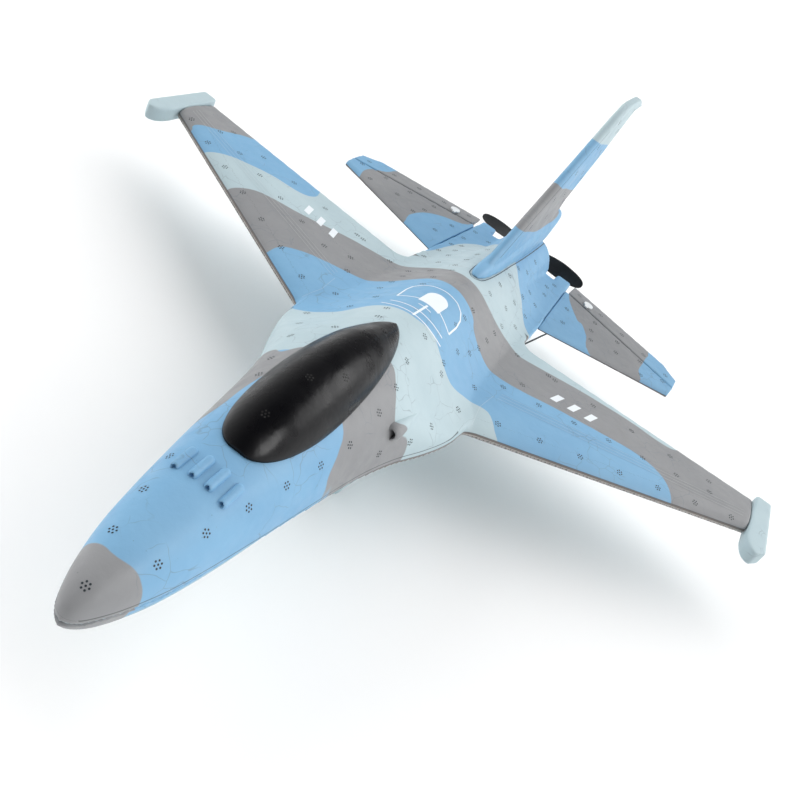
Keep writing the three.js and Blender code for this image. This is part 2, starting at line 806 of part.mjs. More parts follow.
function stabiliser() {
  return loft([stabRing(0), stabRing(1)]);
}

const ELEVATOR_SHOULDER = 1.7;    // from the hinge line back to full thickness
const ELEVATOR_EDGE = 0.9;        // half thickness of the trailing edge

function elevatorTrailY(x) {
  if (x <= STAB.cornerX) {
    const t = (x - ELEVATOR_INNER_X) / (STAB.cornerX - ELEVATOR_INNER_X);
    return mix(STAB.rootTrailY, 249, t);
  }
  return mix(249, STAB.tipTrailY, (x - STAB.cornerX) / (STAB.tipX - STAB.cornerX));
}

function elevatorRing(x) {
  const mid = stabMidZ(x);
  const thick = stabThickness(x) / 2;
  const front = hingeY(x);
  const shoulder = front + ELEVATOR_SHOULDER;
  const rear = elevatorTrailY(x);
  const tail = shoulder + 0.5 * (rear - shoulder);
  const waist = mix(thick, ELEVATOR_EDGE, 0.4);
  return [
    [front, 0], [shoulder, thick], [tail, waist], [rear, ELEVATOR_EDGE],
    [rear, -ELEVATOR_EDGE], [tail, -waist], [shoulder, -thick],
  ].map(([y, z]) => new THREE.Vector3(x, y, mid + z));
}

function elevator() {
  const corner = spread(STAB.cornerX, STAB.tipX, 3);
  const panel = loft([ELEVATOR_INNER_X, 60, 95, ...corner].map(elevatorRing));
  return carve(panel, { cut: [placed(hornStem(GAP), hornFrame())] });
}

// ---------------------------------------------------------------- control linkage

// Direction of the left elevator's hinge line, outboard.
const HINGE_AXIS = new THREE.Vector3(
  HINGE.outerX - HINGE.innerX,
  HINGE.outerY - HINGE.innerY,
  stabMidZ(HINGE.outerX) - stabMidZ(HINGE.innerX),
).normalize();

// Frame at a point with local X along the hinge axis, Y aft and Z up. The servo's shaft is set
// parallel to the hinge, so arm, rod and horn make a true parallelogram.
function linkageFrame(origin) {
  const aft = new THREE.Vector3(0, 0, 1).cross(HINGE_AXIS).normalize();
  const up = new THREE.Vector3().crossVectors(HINGE_AXIS, aft);
  return new THREE.Matrix4().makeBasis(HINGE_AXIS, aft, up).setPosition(origin);
}

function hornFrame() {
  return linkageFrame(new THREE.Vector3(HORN.x, hingeY(HORN.x), stabMidZ(HORN.x)));
}

function servoFrame() {
  return linkageFrame(new THREE.Vector3(SERVO.shaftX, SERVO.shaftY, SERVO.shaftZ));
}

function placed(geometry, frame) {
  return geometry.clone().applyMatrix4(frame);
}

// Plate lying in the swing plane, through a shape drawn with x aft and y up.
function swingPlate(shape, thick, curveSegments = 8) {
  const plate = new THREE.ExtrudeGeometry(shape, {
    depth: thick, bevelEnabled: false, curveSegments,
  });
  plate.translate(0, 0, -thick / 2);
  const turn = new THREE.Matrix4().makeBasis(
    new THREE.Vector3(0, 1, 0), new THREE.Vector3(0, 0, 1), new THREE.Vector3(1, 0, 0),
  );
  return plate.applyMatrix4(turn);
}

const STEM = { frontY: 4.2, rearY: 7.2 };

function hornStem(grow = 0) {
  return block(
    [-HORN.thick / 2 - grow, STEM.frontY - grow, -8],
    [HORN.thick / 2 + grow, STEM.rearY + grow, 3.2 + grow],
  );
}

function hornHole() {
  return rodAlongX(HORN.holeRadius, -3, 3, 0, -HORN.reach, 14);
}

function horn() {
  const tip = 2.3;
  const baseZ = -stabThickness(HORN.x) / 2 - 2 * GAP;
  const shape = new THREE.Shape();
  shape.moveTo(2.6, baseZ);
  shape.lineTo(-tip, -HORN.reach);
  shape.absarc(0, -HORN.reach, tip, Math.PI, 2 * Math.PI, false);
  shape.lineTo(9, baseZ);
  shape.closePath();
  return placed(carve(swingPlate(shape, HORN.thick), { add: [hornStem()], cut: [hornHole()] }),
    hornFrame());
}

function hornPlate() {
  const low = stabThickness(HORN.x) / 2 + GAP;
  const plate = rodAlongZ(3.6, low, low + 1, 0, (STEM.frontY + STEM.rearY) / 2, 20);
  const tab = block([-1.2, 0.4, low], [1.2, 4, low + 1]);
  return placed(carve(plate, { add: [tab], cut: [hornStem(GAP)] }), hornFrame());
}

const SHAFT_INSET = 5;            // servo shaft from the nearer end of the case

function servoBody() {
  const half = SERVO.width / 2;
  const rearY = SERVO.length - SHAFT_INSET;
  const ear = (SERVO.earSpan - SERVO.length) / 2;
  const casing = block([-SERVO.height, -SHAFT_INSET, -half], [SERVO.faceX, rearY, half]);
  const ears = block([SERVO.earX, -SHAFT_INSET - ear, -half],
    [SERVO.earX + SERVO.earThick, rearY + ear, half]);
  const boss = rodAlongX(2.6, -3, -1.1, 0, 0, 18);
  return placed(carve(casing, { add: [ears, boss], cut: servoScrewHoles() }), servoFrame());
}

function servoScrewYs() {
  const ear = (SERVO.earSpan - SERVO.length) / 2;
  return [-SHAFT_INSET - ear / 2, SERVO.length - SHAFT_INSET + ear / 2];
}

function servoScrewHoles() {
  return servoScrewYs().map((y) => rodAlongX(SCREW.holeRadius, -8, -3, y, 0, 12));
}

function servoScrew(y) {
  const head = rodAlongX(SCREW.headRadius, -4.1, -3.2, y, 0, 12);
  const shank = rodAlongX(SCREW.shankRadius, -11, -4, y, 0, 10);
  return placed(carve(head, { add: [shank] }), servoFrame());
}

function servoPocket() {
  const half = SERVO.width / 2 + GAP;
  const front = -SHAFT_INSET - GAP;
  const rear = SERVO.length - SHAFT_INSET + GAP;
  const ear = (SERVO.earSpan - SERVO.length) / 2;
  const open = 12;
  const deep = block([-SERVO.height - GAP, front, -half], [open, rear, half]);
  const wide = block([SERVO.earX - GAP, front - ear, -half], [open, rear + ear, half]);
  const bores = servoScrewYs().map((y) => rodAlongX(SCREW.holeRadius, -11.5, -5, y, 0, 10));
  return placed(carve(deep, { add: [wide, ...bores] }), servoFrame());
}

function servoArm() {
  const hub = 3;
  const tip = 2.3;
  const shape = new THREE.Shape();
  shape.absarc(0, 0, hub, 0, Math.PI, false);
  shape.lineTo(-tip, -HORN.reach);
  shape.absarc(0, -HORN.reach, tip, Math.PI, 2 * Math.PI, false);
  shape.closePath();
  return placed(carve(swingPlate(shape, HORN.thick), {
    cut: [hornHole(), rodAlongX(0.9, -3, 3, 0, 0, 12)],
  }), servoFrame());
}

function armScrew() {
  const head = rodAlongX(1.8, 0.9, 1.9, 0, 0, 14);
  const shank = rodAlongX(0.6, -0.8, 1, 0, 0, 10);
  return placed(carve(head, { add: [shank] }), servoFrame());
}

// Cylinder between two points.
function strut(from, to, radius, sides = 8) {
  const run = new THREE.Vector3().subVectors(to, from);
  const bar = new THREE.CylinderGeometry(radius, radius, run.length(), sides);
  const turn = new THREE.Quaternion().setFromUnitVectors(
    new THREE.Vector3(0, 1, 0), run.clone().normalize(),
  );
  bar.applyQuaternion(turn);
  const middle = from.clone().add(to).multiplyScalar(0.5);
  return bar.translate(middle.x, middle.y, middle.z);
}

function elbow(at, radius) {
  return new THREE.SphereGeometry(radius, 8, 6).translate(at.x, at.y, at.z);
}

const ROD_STANDOFF = 2.4;         // wire's run beside the arm and beside the horn

// Steel wire with a bent end through the arm and another through the horn.
function pushrod() {
  const local = (x) => new THREE.Vector3(x, 0, -HORN.reach);
  const armEnd = local(-1.2).applyMatrix4(servoFrame());
  const armCorner = local(ROD_STANDOFF).applyMatrix4(servoFrame());
  const hornCorner = local(-ROD_STANDOFF).applyMatrix4(hornFrame());
  const hornEnd = local(1.5).applyMatrix4(hornFrame());
  return carve(strut(armCorner, hornCorner, ROD_RADIUS), {
    add: [
      strut(armEnd, armCorner, ROD_RADIUS), elbow(armCorner, ROD_RADIUS),
      strut(hornEnd, hornCorner, ROD_RADIUS), elbow(hornCorner, ROD_RADIUS),
    ],
  });
}

// ---------------------------------------------------------------- fin

// Heights with the leading edge, trailing edge and half thickness of the fin there.
const FIN_SECTIONS = [
  [8, 96, 244, 4.2], [30, 126, 244, 4.1], [48, 154, 244, 3.8], [80, 204, 278, 3.4],
  [105, 243, 295, 3.3], [111, 252.5, 301, 3.2], [112.5, 255, FIN_REAR_Y, 3.2], [117, 263, 312, 3.1],
  [119.5, 275, 304, 2.5],
];

function finRing([z, lead, trail, half]) {
  const chord = trail - lead;
  const steps = [[0, 0], [0.01, 0.38], [0.04, 0.75], [0.1, 0.97], [0.2, 1], [0.55, 1], [1, 0.94]];
  const point = ([c, share], side) => new THREE.Vector3(side * share * half, lead + c * chord, z);
  const right = steps.map((step) => point(step, 1));
  const left = steps.slice(1).reverse().map((step) => point(step, -1));
  return [...right, ...left];
}

// Stations of the fairing along the fin's foot: half width, underside and crown.
const FOOT_SECTIONS = [
  [105, 1.2, 14, 24.8], [108, 3.4, 14, 26.4], [116, 5, 14, 28], [135, 6, 13, 29],
  [165, 6.2, 11, 29], [200, 6.4, 9, 30.5], [230, 6.6, 8, 33], [248, 6.6, 9, 35],
  [257, 6.2, 18, 35.6], [263, 5.6, 22, 35],
];
const FOOT_FACETS = 14;

function footRing([y, half, low, high]) {
  const middle = (low + high) / 2;
  const rise = (high - low) / 2;
  return Array.from({ length: FOOT_FACETS }, (_, i) => {
    const angle = (2 * Math.PI * i) / FOOT_FACETS;
    const c = Math.cos(angle);
    const s = Math.sin(angle);
    const x = half * Math.sign(c) * Math.abs(c) ** 0.8;
    return new THREE.Vector3(x, y, middle + rise * Math.sign(s) * Math.abs(s) ** 0.8);
  });
}

function fin() {
  return carve(loft(FIN_SECTIONS.map(finRing)), {
    add: [loft(FOOT_SECTIONS.map(footRing))],
    cut: [deckSlab(80, NOZZLE.endY + GAP, 16, -60, GAP)],
  });
}

// ---------------------------------------------------------------- power train

const FLANGE = { frontY: MOTOR.rearY + GAP, thick: 2, radius: NOZZLE.bore - GAP };
const MOTOR_SCREW_X = 5;
const SLEEVE = { frontY: 232, wall: 1.8 };
const MOUNT_BORE = 3.2;
const COOLING_HOLES = { count: 4, radius: 1.6, reach: 12.2 };

function motorCan() {
  const { z } = NOZZLE;
  const front = MOTOR.rearY - MOTOR.length;
  return carve(rodAlongY(MOTOR.radius, front, MOTOR.rearY, 0, z, 28), {
    add: [rodAlongY(3, front - 1.5, front + 1, 0, z, 16)],
    cut: [
      rodAlongY(MOTOR.shaftRadius + GAP, MOTOR.rearY - 8, MOTOR.rearY + 1, 0, z, 14),
      ...[1, -1].map((side) => (
        rodAlongY(SCREW.holeRadius, MOTOR.rearY - 5, MOTOR.rearY + 1, side * MOTOR_SCREW_X, z, 12)
      )),
    ],
  });
}

function motorMount() {
  const { z } = NOZZLE;
  const front = SLEEVE.frontY - 2;
  const rear = FLANGE.frontY + FLANGE.thick;
  const sleeve = carve(rodAlongY(MOTOR.radius + SLEEVE.wall, SLEEVE.frontY, rear, 0, z, 28), {
    cut: [rodAlongY(MOTOR.radius + GAP, front, FLANGE.frontY, 0, z, 28)],
  });
  const screwHoles = [1, -1].map((side) => (
    rodAlongY(SCREW.holeRadius, front, rear + 1, side * MOTOR_SCREW_X, z, 12)
  ));
  const coolingHoles = Array.from({ length: COOLING_HOLES.count }, (_, i) => {
    const angle = Math.PI / 4 + (2 * Math.PI * i) / COOLING_HOLES.count;
    const x = COOLING_HOLES.reach * Math.cos(angle);
    const up = COOLING_HOLES.reach * Math.sin(angle);
    return rodAlongY(COOLING_HOLES.radius, front, rear + 1, x, z + up, 12);
  });
  return carve(rodAlongY(FLANGE.radius, FLANGE.frontY, rear, 0, z, 32), {
    add: [sleeve],
    cut: [rodAlongY(MOUNT_BORE, front, rear + 1, 0, z, 18), ...screwHoles, ...coolingHoles],
  });
}

function mountScrew(side) {
  const face = FLANGE.frontY + FLANGE.thick;
  const { z } = NOZZLE;
  const x = side * MOTOR_SCREW_X;
  return carve(rodAlongY(1.9, face + GAP, face + 1.5, x, z, 14), {
    add: [rodAlongY(SCREW.shankRadius, face - 6, face + GAP + 0.2, x, z, 10)],
  });
}

function motorShaft() {
  return rodAlongY(MOTOR.shaftRadius, MOTOR.rearY - 7, PROP.y + 7.5, 0, NOZZLE.z, 16);
}

// Blade stations: distance from the shaft, chord and thickness.
const BLADE_SECTIONS = [
  [2, 6.5, 2.6], [8, 8.5, 2.2], [16, 11, 1.8], [26, 12, 1.5], [36, 10.5, 1.2], [42, 8, 1],
  [45, 5, 0.9], [PROP.radius, 2, 0.8],
];
const BLADE_ADVANCE = 70;         // travel per turn that the blade's twist gives

function bladeRing([reach, chord, thick]) {
  const pitch = Math.atan2(BLADE_ADVANCE, 2 * Math.PI * Math.max(reach, 14));
  return [[-0.5, 0], [-0.3, 0.5], [0.05, 0.6], [0.5, 0.1], [0.5, -0.1], [0.05, -0.35], [-0.3, -0.4]]
    .map(([c, t]) => {
      const along0 = c * chord;
      const across = t * thick;
      const z = along0 * Math.cos(pitch) - across * Math.sin(pitch);
      const y = along0 * Math.sin(pitch) + across * Math.cos(pitch);
      return new THREE.Vector3(reach, PROP.y + y, NOZZLE.z + z);
    });
}

function propeller() {
  const blade = loft(BLADE_SECTIONS.map(bladeRing));
  const other = blade.clone();
  other.translate(0, -PROP.y, -NOZZLE.z).rotateY(Math.PI).translate(0, PROP.y, NOZZLE.z);
  const half = PROP.hubLength / 2;
  return carve(rodAlongY(PROP.hubRadius, PROP.y - half, PROP.y + half, 0, NOZZLE.z, 24), {
    add: [blade, other],
    cut: [rodAlongY(MOTOR.shaftRadius + GAP, PROP.y - 9, PROP.y + 9, 0, NOZZLE.z, 16)],
  });
}

function propellerNut() {
  const front = PROP.y + PROP.hubLength / 2 + GAP;
  return carve(rodAlongY(2.8, front, front + 3, 0, NOZZLE.z, 6), {
    cut: [rodAlongY(MOTOR.shaftRadius + GAP, front - 1, front + 4, 0, NOZZLE.z, 16)],
  });
}

// ---------------------------------------------------------------- electronics

const BATTERY = { halfWidth: 10.5, length: 52, frontY: -130, height: 13 };
const PAD_THICK = 1.5;

function batteryPad() {
  const z = BAY.floorZ + GAP;
  return block([-8, BATTERY.frontY + 6, z], [8, BATTERY.frontY + 46, z + PAD_THICK]);
}

function battery() {
  const bottom = BAY.floorZ + 2 * GAP + PAD_THICK;
  const corner = 2;
  const half = BATTERY.halfWidth - corner;
  const outline = new THREE.Shape();
  const low = bottom + corner;
  const high = bottom + BATTERY.height - corner;
  outline.absarc(half, low, corner, -Math.PI / 2, 0, false);
  outline.absarc(half, high, corner, 0, Math.PI / 2, false);
  outline.absarc(-half, high, corner, Math.PI / 2, Math.PI, false);
  outline.absarc(-half, low, corner, Math.PI, 1.5 * Math.PI, false);
  const pack = new THREE.ExtrudeGeometry(outline, {
    depth: BATTERY.length, bevelEnabled: false, curveSegments: 4,
  });
  pack.rotateX(Math.PI / 2);
  return pack.translate(0, BATTERY.frontY + BATTERY.length, 0);
}

const CONTROL = { halfWidth: 10, frontY: -46, rearY: -14, z: -14 };

function flightController() {
  const { halfWidth: half, frontY, rearY, z } = CONTROL;
  const top = z + 1.2;
  return carve(block([-half, frontY, z], [half, rearY, top]), {
    add: [
      block([-4, frontY + 12, top - 0.1], [4, frontY + 20, top + 1.2]),
      block([-9, frontY + 3, top - 0.1], [-3, frontY + 8, top + 2.4]),
      block([2, frontY + 3, top - 0.1], [8, frontY + 7, top + 3.4]),
      block([-8.5, rearY - 6, top - 0.1], [8.5, rearY - 1, top + 1.8]),
    ],
  });
}

const CABLE_Z = -12.2;

function motorCable() {
  const endY = MOTOR.rearY - MOTOR.length - 2;
  return wire([
    new THREE.Vector3(0, CONTROL.rearY + GAP, CABLE_Z + 0.8),
    new THREE.Vector3(0, 0, CABLE_Z),
    new THREE.Vector3(0, 100, CABLE_Z),
    new THREE.Vector3(0, 200, CABLE_Z),
    new THREE.Vector3(0, endY, CABLE_Z + 1.5),
  ], 1.1, 36);
}

function servoCable() {
  const turnY = (SERVO_BRANCH.frontY + SERVO_BRANCH.rearY) / 2;
  return wire([
    new THREE.Vector3(3.2, CONTROL.rearY + GAP, CABLE_Z + 0.8),
    new THREE.Vector3(3.4, 0, CABLE_Z),
    new THREE.Vector3(3.4, turnY - 8, CABLE_Z),
    new THREE.Vector3(5, turnY - 1.5, CABLE_Z),
    new THREE.Vector3(12.8, turnY, CABLE_Z - 0.4),
  ], 0.8, 40);
}

function batteryPlug() {
  const z = BAY.floorZ + 2 * GAP;
  return block([-4, -73, z + 2], [4, -61, z + 8]);
}

function batteryCable() {
  return wire([
    new THREE.Vector3(0, BATTERY.frontY + BATTERY.length + GAP, -9),
    new THREE.Vector3(0, -75.5, -9.6),
    new THREE.Vector3(0, -74, -10.6),
  ], 1.2, 6);
}

function boardCable() {
  return wire([
    new THREE.Vector3(0, -60.7, -11.4),
    new THREE.Vector3(-2, -55, -11.6),
    new THREE.Vector3(-6, -49, -11.6),
    new THREE.Vector3(-6, CONTROL.frontY + 2.6, -11.6),
  ], 1, 10);
}

// ---------------------------------------------------------------- assembly

const SIDES = [['left', (geometry) => geometry], ['right', mirrored]];

const airframe = new THREE.Group();
airframe.position.set(0, -(NOSE_Y + FIN_REAR_Y) / 2, BELLY_DEPTH);

airframe.add(
  node('upper_fuselage_and_wing', upperMoulding(), SKY),
  node('lower_fuselage', lowerMoulding(), ICE),
  node('canopy', canopyShell(), BLACK_FOAM),
  node('fin', fin(), GREY),
  node('wing_spar', spar(), CARBON),
  node('motor', motorCan(), STEEL),
  node('motor_mount', motorMount(), BLACK_PLASTIC),
  node('motor_shaft', motorShaft(), STEEL),
  node('propeller', propeller(), BLACK_PLASTIC),
  node('propeller_nut', propellerNut(), STEEL),
  node('battery', battery(), WRAP),
  node('battery_pad', batteryPad(), FOAM_PAD),
  node('battery_plug', batteryPlug(), WHITE_PLASTIC),
  node('battery_cable', batteryCable(), CABLE),
  node('board_cable', boardCable(), CABLE),
  node('flight_controller', flightController(), BOARD),
  node('motor_cable', motorCable(), CABLE),
);

for (const [place, y] of [['front', MAGNET.frontY], ['rear', MAGNET.rearY]]) {
  airframe.add(node(`fuselage_magnet_${place}`, fuselageMagnet(y), STEEL));
  airframe.add(node(`canopy_magnet_${place}`, canopyMagnet(y), STEEL));
}

for (const [side, put] of SIDES) {
  airframe.add(
    node(`tip_rail_${side}`, put(tipRail()), ICE),
    node(`stabiliser_${side}`, put(stabiliser()), GREY),
    node(`elevator_${side}`, put(elevator()), GREY),
    node(`elevator_horn_${side}`, put(horn()), WHITE_PLASTIC),
    node(`horn_plate_${side}`, put(hornPlate()), WHITE_PLASTIC),
    node(`servo_${side}`, put(servoBody()), BLACK_PLASTIC),
    node(`servo_arm_${side}`, put(servoArm()), WHITE_PLASTIC),
    node(`servo_arm_screw_${side}`, put(armScrew()), STEEL),
    node(`pushrod_${side}`, put(pushrod()), STEEL),
    node(`servo_cable_${side}`, put(servoCable()), CABLE),
    node(`motor_screw_${side}`, mountScrew(side === 'left' ? 1 : -1), STEEL),
  );
  servoScrewYs().forEach((y, i) => {
    const place = i === 0 ? 'front' : 'rear';
    airframe.add(node(`servo_screw_${side}_${place}`, put(servoScrew(y)), STEEL));
  });
}

export default airframe;
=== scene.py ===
"""Three-tone camouflage foam jet model with a pusher propeller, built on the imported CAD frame.

Shapes are worked out in airframe millimetres: y = 0 at the wing root's leading edge, z = 0 on the
wing's parting plane. place() turns them into metres in the row frame.
"""

import math

import bmesh
import bpy
import numpy as np
from mathutils import Matrix, Vector
from mathutils.bvhtree import BVHTree


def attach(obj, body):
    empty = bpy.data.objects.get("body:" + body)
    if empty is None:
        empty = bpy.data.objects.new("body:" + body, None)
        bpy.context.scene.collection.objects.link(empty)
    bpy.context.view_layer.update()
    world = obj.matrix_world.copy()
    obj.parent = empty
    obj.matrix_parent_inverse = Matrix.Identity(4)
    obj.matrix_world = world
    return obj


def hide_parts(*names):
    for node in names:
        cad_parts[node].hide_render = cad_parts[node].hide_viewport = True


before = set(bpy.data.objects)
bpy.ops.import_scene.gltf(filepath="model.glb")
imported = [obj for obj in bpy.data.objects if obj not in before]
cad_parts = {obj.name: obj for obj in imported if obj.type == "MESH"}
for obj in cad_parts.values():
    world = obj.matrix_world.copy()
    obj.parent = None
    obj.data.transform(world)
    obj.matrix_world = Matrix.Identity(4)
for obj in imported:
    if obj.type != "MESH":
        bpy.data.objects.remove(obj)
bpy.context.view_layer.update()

# ---- driving dimensions, in mm

NOSE_Y = -237
FIN_REAR_Y = 322
BELLY_DEPTH = 55
GAP = 0.3
MM = 0.001
CENTRE_Y = (NOSE_Y + FIN_REAR_Y) / 2

WING_ROOT_X = 55
WING_TIP_X = 212
WING_TIP_LEAD_Y = 95.5
WING_TIP_TRAIL_Y = 134
WING_INNER_X = 38
ROOT_TRAIL_X = 45.5
ROOT_TRAIL_Y = 125.5
FILLET_X = 54
FILLET_Y = 119

STAB_FRONT_X = 44.5
STAB_FRONT_Y = 165
SHELF_X = 39.6
SHELF_INNER_X = 28
DECK_END_Y = 256.5
NOTCH_Y = 243

NOZZLE_Z = -7.5
NOZZLE_RADIUS = 20
NOZZLE_BORE = 15
NOZZLE_END_Y = 254
BORE_FRONT_Y = 214

BAY_HALF = 12.5
BAY_FRONT_Y = -134
BAY_REAR_Y = -52
BAY_FLOOR_Z = -17
BAY_CORNER = 7
DUCT_FLOOR_Z = -14
MAGNET_YS = (-143, -38)
POCKET_RADIUS = 3.3
POCKET_DEPTH = 2.3
TRIM_GAP = 0.4

FOAM_VOXEL = 1.15
SOFTEN = 4
SIDES = (("left", 1), ("right", -1))


# ---- small helpers

def place(point):
    """A point in airframe millimetres as row-frame metres."""
    x, y, z = point
    return (x * MM, (y - CENTRE_Y) * MM, (z + BELLY_DEPTH) * MM)


def mix(a, b, t):
    return a + (b - a) * t


def spread(start, end, count):
    return [mix(start, end, i / count) for i in range(count + 1)]


def ease(t):
    k = min(max(t, 0), 1)
    return k * k * (3 - 2 * k)


def along(*stations):
    """Smooth value along a length, through [position, value] stations."""
    last = len(stations) - 1
    slopes = []
    for i in range(last + 1):
        p0, v0 = stations[max(i - 1, 0)]
        p1, v1 = stations[min(i + 1, last)]
        slopes.append((v1 - v0) / (p1 - p0))

    def value(position):
        p = min(max(position, stations[0][0]), stations[last][0])
        i = 0
        while i < last - 1 and p > stations[i + 1][0]:
            i += 1
        (p0, v0), (p1, v1) = stations[i], stations[i + 1]
        run = p1 - p0
        t = (p - p0) / run
        t2, t3 = t * t, t * t * t
        return ((2 * t3 - 3 * t2 + 1) * v0 + (t3 - 2 * t2 + t) * run * slopes[i]
                + (3 * t2 - 2 * t3) * v1 + (t3 - t2) * run * slopes[i + 1])

    return value


def new_object(name, data):
    made = bpy.data.objects.new(name, data)
    bpy.context.scene.collection.objects.link(made)
    return made


def built(name, bm):
    """The object that a bmesh describes, its faces turned out."""
    bmesh.ops.recalc_face_normals(bm, faces=bm.faces)
    mesh = bpy.data.meshes.new(name)
    bm.to_mesh(mesh)
    bm.free()
    return new_object(name, mesh)


def solid(name, rings):
    """Closed object lofted through rings of airframe points."""
    bm = bmesh.new()
    rows = [[bm.verts.new(place(p)) for p in ring] for ring in rings]
    for near, far in zip(rows, rows[1:]):
        for i in range(len(near)):
            j = (i + 1) % len(near)
            bm.faces.new((near[i], near[j], far[j], far[i]))
    bm.faces.new(rows[0][::-1])
    bm.faces.new(rows[-1])
    return built(name, bm)


def prism(name, outline, low, high, axis="z"):
    """Straight solid over an outline, along y or z."""
    def lifted(a, b, h):
        return (a, h, b) if axis == "y" else (a, b, h)

    return solid(name, [[lifted(a, b, h) for a, b in outline] for h in (low, high)])


def block(name, low, high):
    (x0, y0, z0), (x1, y1, z1) = low, high
    return prism(name, [(x0, y0), (x1, y0), (x1, y1), (x0, y1)], z0, z1)


def circle(a, b, radius, count=48):
    turns = [2 * math.pi * i / count for i in range(count)]
    return [(a + radius * math.cos(t), b + radius * math.sin(t)) for t in turns]


def baked(obj):
    """Applies every modifier and keeps the result as plain mesh."""
    graph = bpy.context.evaluated_depsgraph_get()
    mesh = bpy.data.meshes.new_from_object(obj.evaluated_get(graph), depsgraph=graph)
    obj.modifiers.clear()
    obj.data = mesh
    return obj


def boolean(obj, others, operation):
    """Joins or cuts with the other objects, which are used up."""
    for other in others:
        step = obj.modifiers.new("bool", "BOOLEAN")
        step.operation = operation
        step.solver = "MANIFOLD"
        step.object = other
    baked(obj)
    for other in others:
        bpy.data.objects.remove(other)
    return obj


def softened(obj, voxel=FOAM_VOXEL, rounds=SOFTEN):
    """Moulded-foam look: one even skin whose edges are slightly rounded."""
    skin = obj.modifiers.new("skin", "REMESH")
    skin.mode = "VOXEL"
    skin.voxel_size = voxel * MM
    smooth = obj.modifiers.new("soft", "SMOOTH")
    smooth.factor = 0.5
    smooth.iterations = rounds
    return shaded(baked(obj))


def shaded(obj, angle=60):
    obj.data.shade_smooth()
    obj.data.set_sharp_from_angle(angle=math.radians(angle))
    return obj


def turned_over(obj):
    """The piece itself moved to the other side of the airframe."""
    obj.data.transform(Matrix.Scale(-1, 4, (1, 0, 0)))
    obj.data.flip_normals()
    return obj


def mirrored(obj, name):
    """A copy on the other side of the airframe."""
    return turned_over(new_object(name, obj.data.copy()))


def finish_piece(obj, look, body="airframe", nodes=()):
    """Gives a piece its material, its body and the CAD nodes that it stands for."""
    obj.data.materials.clear()
    obj.data.materials.append(look)
    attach(obj, body)
    if nodes:
        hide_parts(*nodes)
    return obj


# ---- node graph helper

class Graph:
    """Thin wrapper that keeps each function for a material, or for the world, short."""

    def __init__(self, owner, shader="Principled BSDF", coordinate="Object"):
        owner.use_nodes = True
        self.owner = owner
        self.nodes = owner.node_tree.nodes
        self.shader = self.nodes[shader]
        self.coordinate = self.nodes.new("ShaderNodeTexCoord").outputs[coordinate]

    def link(self, source, target):
        self.owner.node_tree.links.new(source, target)

    def set(self, node, inputs):
        for key, value in inputs.items():
            if isinstance(value, bpy.types.NodeSocket):
                self.link(value, node.inputs[key])
            else:
                node.inputs[key].default_value = value

    def shade(self, **inputs):
        self.set(self.shader, {k.replace("_", " "): v for k, v in inputs.items()})

    def math(self, operation, a, b=0.0, c=0.0):
        node = self.nodes.new("ShaderNodeMath")
        node.operation = operation
        self.set(node, {0: a, 1: b, 2: c})
        return node.outputs[0]

    def noise(self, scale, detail=3.0, rough=0.5, distortion=0.0, at=None):
        node = self.nodes.new("ShaderNodeTexNoise")
        self.set(node, {"Vector": at or self.coordinate, "Scale": scale, "Detail": detail,
                        "Roughness": rough, "Distortion": distortion})
        return node.outputs["Fac"]

    def voronoi(self, scale, feature="F1", at=None, randomness=1.0):
        node = self.nodes.new("ShaderNodeTexVoronoi")
        node.feature = feature
        self.set(node, {"Vector": at or self.coordinate, "Scale": scale,
                        "Randomness": randomness})
        return node.outputs["Distance"]

    def warped(self, scale, amount):
        """Coordinates pushed about by noise, so that cells and lines run unevenly."""
        noise = self.nodes.new("ShaderNodeTexNoise")
        self.set(noise, {"Vector": self.coordinate, "Scale": scale, "Detail": 2.0})
        step = self.nodes.new("ShaderNodeVectorMath")
        step.operation = "MULTIPLY_ADD"
        self.set(step, {0: noise.outputs["Color"], 1: (amount,) * 3, 2: self.coordinate})
        return step.outputs[0]

    def ramp(self, value, low, high, to_low=0.0, to_high=1.0, kind="SMOOTHSTEP"):
        node = self.nodes.new("ShaderNodeMapRange")
        node.interpolation_type = kind
        self.set(node, {0: value, 1: low, 2: high, 3: to_low, 4: to_high})
        return node.outputs[0]

    def blend(self, factor, a, b, mode="MIX"):
        node = self.nodes.new("ShaderNodeMix")
        node.data_type = "RGBA"
        node.blend_type = mode
        self.set(node, {0: factor, 6: a, 7: b})
        return node.outputs[2]

    def attribute(self, name):
        node = self.nodes.new("ShaderNodeAttribute")
        node.attribute_name = name
        return node.outputs["Fac"]

    def bump(self, height, strength, distance, normal=None):
        node = self.nodes.new("ShaderNodeBump")
        inputs = {"Height": height, "Strength": strength, "Distance": distance * MM}
        if normal is not None:
            inputs["Normal"] = normal
        self.set(node, inputs)
        return node.outputs[0]

    def finish(self, tone, gloss, rough, height, strength, distance=0.05, **constants):
        """Finished material: a tone, an uneven gloss and a relief that catches the light."""
        self.shade(Base_Color=tone, Roughness=self.ramp(gloss, 0.3, 0.7, *rough),
                   Normal=self.bump(height, strength, distance), **constants)
        return self.owner


def colour(red, green, blue):
    """An 0-255 screen colour as the linear RGBA that shaders take."""
    def linear(value):
        v = value / 255
        return v / 12.92 if v <= 0.04045 else ((v + 0.055) / 1.055) ** 2.4

    return (linear(red), linear(green), linear(blue), 1.0)


# ---- materials

SKY = colour(123, 171, 206)
ICE = colour(179, 198, 204)
GREY = colour(143, 144, 146)
BARE = colour(118, 111, 107)
BARE_LIGHT = colour(176, 172, 168)
# BARE_UNDER_SHADE: painted shade lowest on the bare lip, where the edge turns under.
BARE_UNDER_SHADE = colour(70, 66, 64)
# GROOVE_SHADE_TONE: painted shade in grooves, along the hinge and along the lip's parting line.
GROOVE_SHADE_TONE = colour(44, 48, 54)


